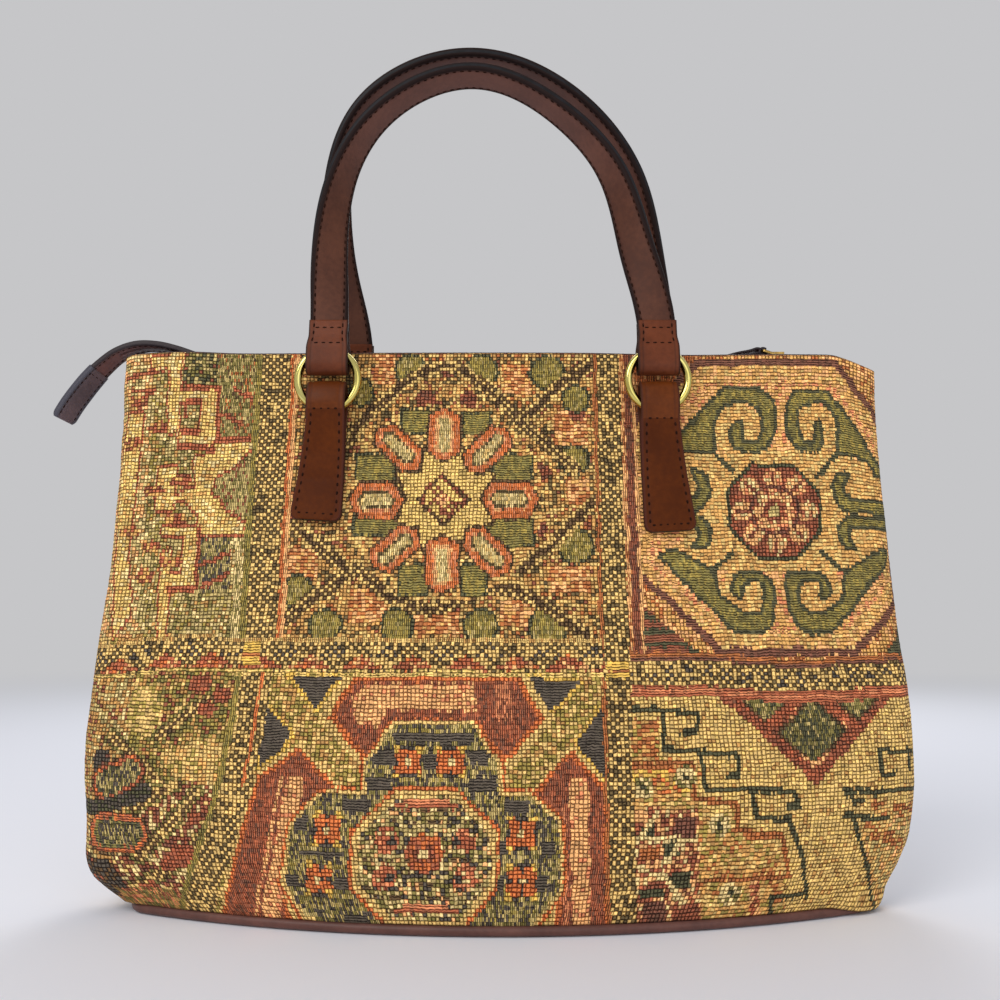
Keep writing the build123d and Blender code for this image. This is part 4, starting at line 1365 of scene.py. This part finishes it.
def clamped_curve(points, first, last, count):
    """A cubic curve through the points with given headings at its ends."""
    p = np.array(points, float)
    t = np.concatenate([[0], np.cumsum(np.linalg.norm(np.diff(p, axis=0), axis=1))])
    t /= t[-1]
    h = np.diff(t)
    n = len(p)
    table = np.zeros((n, n))
    right = np.zeros_like(p)
    size = np.linalg.norm(np.diff(p, axis=0), axis=1).sum()
    table[0, 0] = table[-1, -1] = 1
    right[0] = np.array(first) * size
    right[-1] = np.array(last) * size
    for k in range(1, n - 1):
        table[k, k - 1 : k + 2] = (1 / h[k - 1], 2 / h[k - 1] + 2 / h[k], 1 / h[k])
        right[k] = 3 * ((p[k] - p[k - 1]) / h[k - 1] ** 2 + (p[k + 1] - p[k]) / h[k] ** 2)
    slope = np.linalg.solve(table, right)
    at = np.linspace(0, 1, count)
    k = np.clip(np.searchsorted(t, at) - 1, 0, n - 2)
    s = ((at - t[k]) / h[k])[:, None]
    hk = h[k][:, None]
    return (
        p[k] * (1 + 2 * s) * (1 - s) ** 2 + slope[k] * hk * s * (1 - s) ** 2
        + p[k + 1] * s**2 * (3 - 2 * s) - slope[k + 1] * hk * s**2 * (1 - s)
    ), at


# %% Building a handle
def handle(name, side):
    """The strap of a handle and the loops at both ends, all sewn."""
    pile = Pile(handle_leather, edge_paint, thread, loop_leather)
    rise = np.array([0, -side * math.sin(LEAN), math.cos(LEAN)])
    face = np.array([0, -math.cos(LEAN), -side * math.sin(LEAN)])
    root = np.array([0, side * RING_Y, HANDLE_Z])
    arch, share = clamped_curve(ARCHES[name], (0, 1), (0, -1), 210)
    line = root + np.array([1, 0, 0]) * arch[:, :1] + rise * arch[:, 1:]
    ahead = unit(np.gradient(line, axis=0))
    outward = np.cross(face, ahead)
    roll = ROLL * np.sin(np.pi * share) ** 1.1
    across = outward * np.cos(roll)[:, None] + face * np.sin(roll)[:, None]
    bow = np.sin(np.pi * share)
    width = WIDE + (NARROW - WIDE) * bow**2 + 0.12 * ripple(share * 400, 0 * share, 5, 4, 40)
    on = strap(pile, line, across, width, THICK, inset=2.3, channel=0.28, dome=0.3)
    for edge in (-1, 1):
        for look in (-1, 1):
            spots, ups = on(edge, look, 3, -3)
            sew(pile, spots, ups, pitch=4.0, long=2.4)
    for end in (0, -1):
        x = ARCHES[name][end][0]
        bend = spaced([(p, q, 0) for p, q in smooth_line(LOOP, 6)], 0.8)[0]
        path = root + np.array([x, 0, 0]) + face * bend[:, :1] + rise * bend[:, 1:2]
        q = bend[:, 1]
        wide = 19.2 + 1.5 * step(-q, -9, -2)
        thick = 1.8 - 0.9 * step(q, 11, 14)
        fold = strap(
            pile, path, (-1, 0, 0), wide, thick, inset=2.5, channel=0.12, dome=0.15, marks=(3, 1)
        )
        front = np.arange(len(bend)) < len(bend) // 2
        for look in (front, ~front):
            rows = [int(np.argmin(np.abs(q - h) + 100 * ~look)) for h in (4.5, 12.8, 16)]
            for k in rows[:2]:
                along, ups = fold(0, -1, k, k + 1, 0.0)
                spots = [along[0] + np.array([u, 0, 0]) for u in np.linspace(-7.2, 7.2, 5)]
                sew(pile, spots, [ups[0]] * 5, pitch=3.6, long=2.3)
            for edge in (-1, 1):
                low, high = sorted((rows[0], rows[2]))
                spots, ups = fold(edge, -1, low, high + 1, 0.0)
                sew(pile, spots, ups, pitch=4.0, long=2.4)
    node = f"{name}_handle"
    pile.piece(f"{node}_leather", node, [node], "handle_leather")


handle("front", -1)
handle("back", 1)

# %% [markdown]
# ## The tabs
# A tab is one strip of leather folded through the ring. Its two layers lie on the tapestry, sewn
# all round, and widen towards the rounded foot. The fold itself is looser, paler leather.


# %% Building a tab
def wall_y(x, z):
    """The front wall's outside at a place, in millimetres."""
    return wall.ray_cast(Vector((x * MM, -0.4, z * MM)), Vector((0, 1, 0)))[0].y / MM


TAB_AXIS = 241.835
OFF_WALL = 3.05
UP_AT_RING = 5.1
TAB_WIDE, TAB_THICK = 19, 1.95


def tab(name, x, drop, splay, row, node, turn):
    """A tab at x whose foot is drop below the ring's axis, sewn as high as row."""
    pile = Pile(tab_leather, tab_edge, thread, fold_leather)
    foot = TAB_AXIS - drop
    throat = TAB_AXIS - 8.5
    levels = np.linspace(foot, throat, 32)
    share = np.clip((throat - levels) / (throat - foot), 0, 1)
    middle = x + splay * share
    y = -RING_Y
    shelf = wall_y(x, 206) - OFF_WALL
    front = []
    back = []
    for k, z in enumerate(levels):
        lies = wall_y(middle[k], z) - OFF_WALL
        stands = min(lies, shelf + (y - UP_AT_RING - shelf) * step(z, 216, 243))
        front.append((middle[k], stands, z))
        back.append((middle[k], lies + 2.0 - 0.4 * (lies - stands), z))
    bend = [(y - UP_AT_RING, 240), (y - 5.3, 242.5), (y - 4.7, 246), (y - 2.9, 250), (y, 252.4)]
    bend += [(y + 2.9, 250), (y + 4.9, 245), (y + 5.1, 241), (y + 3.6, 237)]
    route = front + [(x, *p) for p in bend] + back[::-1]
    line = spaced(smooth_line(route, 4), 0.8)[0]
    z = line[:, 2]
    low = np.clip((throat - z) / (throat - foot), 0, 1)
    width = TAB_WIDE + 6.6 * low
    near = np.clip((foot + 4 - z) / 4, 0, 1)
    width = width - 8 * (1 - np.sqrt(np.clip(1 - near**2, 0.02, 1)))
    tilt = []
    for px, _, pz in line:
        h = min(max(pz, foot), throat)
        tilt.append(wall_y(px + 9, h) - wall_y(px - 9, h))
    slope = np.array(tilt) / 18 * np.clip((throat + 4 - z) / 6, 0, 1)
    across = np.stack([-np.ones_like(slope), -slope, 0 * slope], -1)
    top = int(np.argmax(z))
    sewn = int(np.sum(z[:top] < row))
    on = strap(pile, line, across, width, TAB_THICK, inset=2.6, channel=0.22, dome=0.35)
    around = 48  # points round the strap's section
    for spot in range(sewn * around, (len(line) - 1 - sewn) * around):
        if pile.marks[spot] == 0:
            pile.marks[spot] = 3
    for side in (-1, 1):
        spots, ups = on(side, 1, 4, sewn)
        sew(pile, spots, ups, pitch=4.2, long=2.1, radius=0.6)
    for k in (4, sewn):
        sew_across(pile, on, k, lift=0.12, pitch=3.6, long=1.9, radius=0.6)
    pile.piece(name, "bag", [node], "tab_leather", turn)


for place, turn in (("front", False), ("back", True)):
    tab(f"{place}_left_tab_leather", RING_X[0], 57.5, -4, 238.7, f"{place}_left_tab", turn)
    tab(f"{place}_right_tab_leather", RING_X[1], 63, 4, 233.5, f"{place}_right_tab", turn)

# %% [markdown]
# ## The mouth
# A narrow leather facing lines the mouth and stands a little above the cloth. The zipper tapes are
# sewn inside it: each comes up the facing and turns level towards the teeth. All of it follows the
# edge of the tapestry, which hangs lower at the right-hand corner.


# %% Sheets of points
def skin(pile, rows, mark=0, wear=0.0):
    """A sheet through rows of points."""
    pile.add(np.vstack(rows), quads(len(rows), len(rows[0])), mark, wear)


def facing(name, node, grid, side):
    """A folded strip of leather that follows the cloth's edge."""
    pile = Pile(trim_leather)
    place, out = grid
    edge = place[-1] / MM
    inward = -out[-1]
    profile = [(2.05, -20), (2.05, 0.8), (2.25, 1.35), (2.7, 1.6), (3.15, 1.4), (3.45, 0.8)]
    profile += [(3.45, -12), (2.1, -20)]
    rows = np.array([edge + inward * n + np.array([0, 0, up]) for n, up in profile])
    rows[..., 1] = side * np.maximum(side * rows[..., 1], 0.03)
    wear = np.repeat([0, 0.3, 0.8, 1, 0.8, 0.3, 0, 0], len(edge)).tolist()
    skin(pile, rows, 0, wear)
    pile.piece(name, "bag", [node], "trim_leather")


facing("front_facing_leather", "front_facing", front_grid, -1)
facing("back_facing_leather", "back_facing", back_grid, 1)


# %% Zipper tapes
ZIP_MID = 266.75
TAPE_END = 170
TAPE_EDGE = 2.6


def zipper_tape(name, node, grid, side):
    """The tape, its row of stitches and the cord at its edge."""
    pile = Pile(tape_weave, thread)
    place = grid[0]
    order = np.argsort(place[-1, :, 0])
    x = np.linspace(-TAPE_END, TAPE_END, 172)
    wall_edge = np.interp(x, place[-1, order, 0] / MM, place[-1, order, 1] / MM)
    hang = droop(x, MOUTH_Z)
    profile = [(3.5, -12.6), (3.5, -1.2), (3.8, -0.4), (4.6, 0.0), (None, 0.0), (None, -0.7)]
    profile += [(4.7, -0.7), (4.2, -1.4), (4.2, -12.6)]
    rows = []
    for inward, up in profile:
        y = side * TAPE_EDGE if inward is None else wall_edge - side * inward
        rows.append(np.stack([x, y + 0 * x, ZIP_MID + 0.35 + up - hang * 0.8], -1))
    skin(pile, rows)
    line = np.stack([x, wall_edge - side * 5.6, ZIP_MID + 0.4 - hang * 0.8], -1)
    sew(pile, line, [(0, 0, 1)] * len(x), pitch=3.2, long=2.1, radius=0.3, mark=1)
    cord = []
    for angle in np.linspace(0, 2 * np.pi, 9):
        y = side * 2.7 + 0.55 * math.cos(angle)
        cord.append(np.stack([x, y + 0 * x, ZIP_MID + 0.7 * math.sin(angle) - hang * 0.8], -1))
    skin(pile, cord)
    pile.piece(name, "bag", [node], "zipper_tape")


zipper_tape("front_tape_cloth", "front_zipper_tape", front_grid, -1)
zipper_tape("back_tape_cloth", "back_zipper_tape", back_grid, 1)

# %% [markdown]
# ## Zipper teeth
# The zipper is closed, so the teeth of the two rows lie between each other as far as the slider.
# Each tooth is a small cast block with a rounded head.


# %% Teeth
TEETH, PITCH, FIRST_X = 89, 3.0, -118
SLIDER_OPEN_X, SLIDER_X = -108.6, 139


def rounded(value, size):
    """One side of a square with well rounded corners."""
    return size * np.sign(value) * abs(value) ** 0.5


def teeth(name, node, side):
    """Teeth near either place of the slider's post stop short of it."""
    pile = Pile(zipper_brass)
    angles = np.linspace(0.39, 2 * np.pi + 0.39, 8, endpoint=False)
    ring = [(rounded(math.cos(a), 0.68), rounded(math.sin(a), 1.25)) for a in angles]
    for k in range(TEETH):
        x = FIRST_X + PITCH * k + (0.75 if side < 0 else -0.75)
        at_post = x > SLIDER_X or abs(x - SLIDER_OPEN_X) < 2.2
        tip = -0.75 if at_post else 0.55
        points = []
        for y, grow in ((-3.1, 0.8), (-2.75, 1.0), (tip - 0.45, 0.96), (tip, 0.7)):
            points += [(x + u * grow, y * -side, ZIP_MID + v * grow) for u, v in ring]
        faces = [tuple(range(8)), tuple(range(24, 32))]
        for row in (0, 8, 16):
            for j in range(8):
                n = (j + 1) % 8
                faces.append((row + j, row + n, row + 8 + n, row + 8 + j))
        pile.add(points, faces, 0)
    pile.piece(name, "bag", [node], "zipper_brass")


teeth("front_teeth_brass", "front_zipper_teeth", -1)
teeth("back_teeth_brass", "back_zipper_teeth", 1)

# %% [markdown]
# ## Slider pull
# The pull is a strip of leather folded round the wire link, sewn along both sides.


# %% Pull
def pull_strap():
    """One strip round the eye of the wire link."""
    pile = Pile(tail_leather, edge_paint, thread)
    eye = np.array([135.67, 0, 274.12])
    turns = np.radians(np.linspace(40, 320, 15))
    loop = [(-1.95 * math.cos(math.pi - a), 0, 1.95 * math.sin(math.pi - a)) for a in turns]
    low = [(132.4, 0, 273.1), (128.5, 0, 272.2), (121.5, 0, 271.2), (112.5, 0, 268.9)]
    high = [(112.5, 0, 270.4), (121.5, 0, 273.0), (128.5, 0, 274.4), (132.4, 0, 275.6)]
    around = [tuple(eye + np.array(p)) for p in loop]
    line = spaced(smooth_line(high + around + low, 4), 0.6)[0]
    near = np.clip((136.5 - line[:, 0]) / 4.5, 0, 1)
    tip = np.clip((115 - line[:, 0]) / 2.6, 0, 1)
    width = 6.0 + 2.6 * step(near, 0.25, 1) - 3.2 * tip**2
    on = strap(pile, line, (0, 1, 0), width, 1.05, inset=1.4, channel=0.1, dome=0.1, marks=(0, 0))
    last = int(np.argmax(line[:, 0]))
    for edge in (-1, 1):
        spots, ups = on(edge, 1, 3, int(last * 0.86))
        sew(pile, spots, ups, pitch=2.6, long=1.7, radius=0.26)
    pile.piece("pull_strap", "pull", ["pull_leather"], "handle_leather")


pull_strap()

# %% [markdown]
# ## The tail
# The zipper runs on past the left corner into a narrow leather strap. It arches over the corner,
# turns its lower face to the front as it hangs, and ends in a stitched leather cap.

# %% Tail
TAIL = [
    (-146, 268.9), (-156, 271.8), (-166, 275.2), (-176, 277.4), (-187, 277.2), (-197, 273.2),
    (-205, 266.4), (-211, 259.6), (-216, 252.8), (-220.5, 246.0), (-224.5, 238.6),
]


def tail_part(name, node, first, last, finish, width, thick, grow):
    """The strap from one share of the line to another. The cap is the part that grows."""
    pile = Pile(finish, finish, thread)
    flat = [(x, 0, z) for x, z in TAIL]
    line, at, _ = spaced(smooth_line(flat, 8), 1.0)
    share = at / at[-1]
    keep = (share >= first) & (share <= last)
    ahead = unit(np.gradient(line, axis=0))
    rising = np.stack([ahead[:, 2], 0 * share, -ahead[:, 0]], -1)
    turn = np.radians(4 + 30 * step(share, 0.2, 0.9))[:, None]
    across = np.array([0, -1, 0]) * np.cos(turn) + rising * np.sin(turn)
    wide = width[0] + (width[1] - width[0]) * step(share, 0.05, 0.8) + grow
    deep = thick + grow + 0 * share
    end = share[keep][-1]
    if grow:
        wide = wide - 2.2 * np.clip((share - end + 0.03) / 0.03, 0, 1) ** 2
        deep = deep - 1.0 * np.clip((share - end + 0.02) / 0.02, 0, 1) ** 2
    shape = (line[keep], across[keep], wide[keep], deep[keep])
    on = strap(pile, *shape, inset=2.0, channel=0.2, dome=0.25)
    for edge in (-1, 1):
        for look in (-1, 1):
            spots, ups = on(edge, look, 2, -2)
            sew(pile, spots, ups, pitch=2.9, long=1.8, radius=0.3)
    if grow:
        for look in (-1, 1):
            sew_across(pile, on, 3, look, pitch=2.9, long=1.8, radius=0.3)
    pile.piece(name, "bag", [node], "trim_leather")


tail_part("tail_strap", "zipper_tail", 0.0, 0.78, tail_leather, (8.8, 11.6), 3.0, 0.0)
tail_part("tail_cap_leather", "tail_cap", 0.68, 1.0, cap_leather, (8.6, 11.4), 3.0, 1.2)

# %% [markdown]
# ## Pieces kept from the CAD
# The welt, the base, the board, the lining, the rings and the metal of the zipper already have
# their real shapes, so they stay, with their own finishes.

# %% Finishes of the kept pieces
kept = {
    "base_piping": trim_leather, "base_panel": base_leather, "base_board": board_finish,
    "lining": lining_cloth,
    "front_left_ring": ring_brass, "front_right_ring": ring_brass, "back_left_ring": ring_brass,
    "back_right_ring": ring_brass, "zipper_stop": zipper_brass, "zipper_slider": zipper_brass,
    "zipper_pull": zipper_brass,
}
for node, finish in kept.items():
    for spot in nodes[node].material_slots:
        spot.material = finish
print("kept", len(kept), "of the CAD's", len(nodes))

# %% [markdown]
# ## Floor, air and lamps
# The floor fades into the air's own colour, so no edge shows behind the bag.

# %% Floor
BACKDROP = dye(198, 198, 200)


def floor_finish():
    material, start, place = start_finish("floor")
    fade = place.vector("LENGTH", out="Value").ease(0.7, 2.6)
    matt = start.node("ShaderNodeBsdfDiffuse", sockets={"Color": dye(238, 239, 246)})
    glow = start.node("ShaderNodeEmission", sockets={"Color": BACKDROP, "Strength": 1.0})
    both = start.node("ShaderNodeMixShader", sockets={0: fade, 1: matt, 2: glow})
    start.node("ShaderNodeOutputMaterial", sockets={"Surface": both}, out=None)
    return material


FLOOR_RADIUS = 4
angles = np.linspace(0, 2 * np.pi, 96, endpoint=False)
rim = [(FLOOR_RADIUS * math.cos(a), FLOOR_RADIUS * math.sin(a), 0) for a in angles]
floor_mesh = bpy.data.meshes.new("floor")
floor_mesh.from_pydata(rim, [], [list(range(len(rim)))])
floor_mesh.materials.append(floor_finish())
floor = placed("floor", floor_mesh)
floor.location.z = -0.2 * MM

# %% Air
world = bpy.data.worlds.new("air")
world.use_nodes = True
world.node_tree.nodes.clear()
bpy.context.scene.world = world
air = Wire(world.node_tree)
seen, mirrored, through = [
    air.node(
        "ShaderNodeLightPath", out=f"Is {ray} Ray") for ray in ("Camera", "Glossy", "Transmission",
    )
]
shown = seen.math("MAXIMUM", mirrored).math("MAXIMUM", through)
lit = air.node("ShaderNodeBackground", sockets={"Color": dye(236, 238, 242), "Strength": 0.62})
back = air.node("ShaderNodeBackground", sockets={"Color": BACKDROP, "Strength": 1.0})
both = air.node("ShaderNodeMixShader", sockets={0: shown, 1: lit, 2: back})
air.node("ShaderNodeOutputWorld", sockets={"Surface": both}, out=None)


# %% Lamps
def lamp(name, place, target, size, power, colour=(1, 1, 1)):
    data = bpy.data.lights.new(name, "AREA")
    data.shape = "DISK"
    data.size = size
    data.energy = power
    data.color = colour
    made = placed(name, data)
    made.location = place
    made.rotation_euler = (Vector(target) - Vector(place)).to_track_quat("-Z", "Y").to_euler()


lamp("key", (-0.7, -1.1, 1.15), (0, 0, 0.15), 0.9, 10.4, (1, 0.975, 0.945))
lamp("fill", (0.5, -1.35, 0.32), (0, 0, 0.25), 1.2, 3.4)
lamp("rim", (0.2, 1.3, 1.1), (0, 0, 0.2), 1.0, 7)
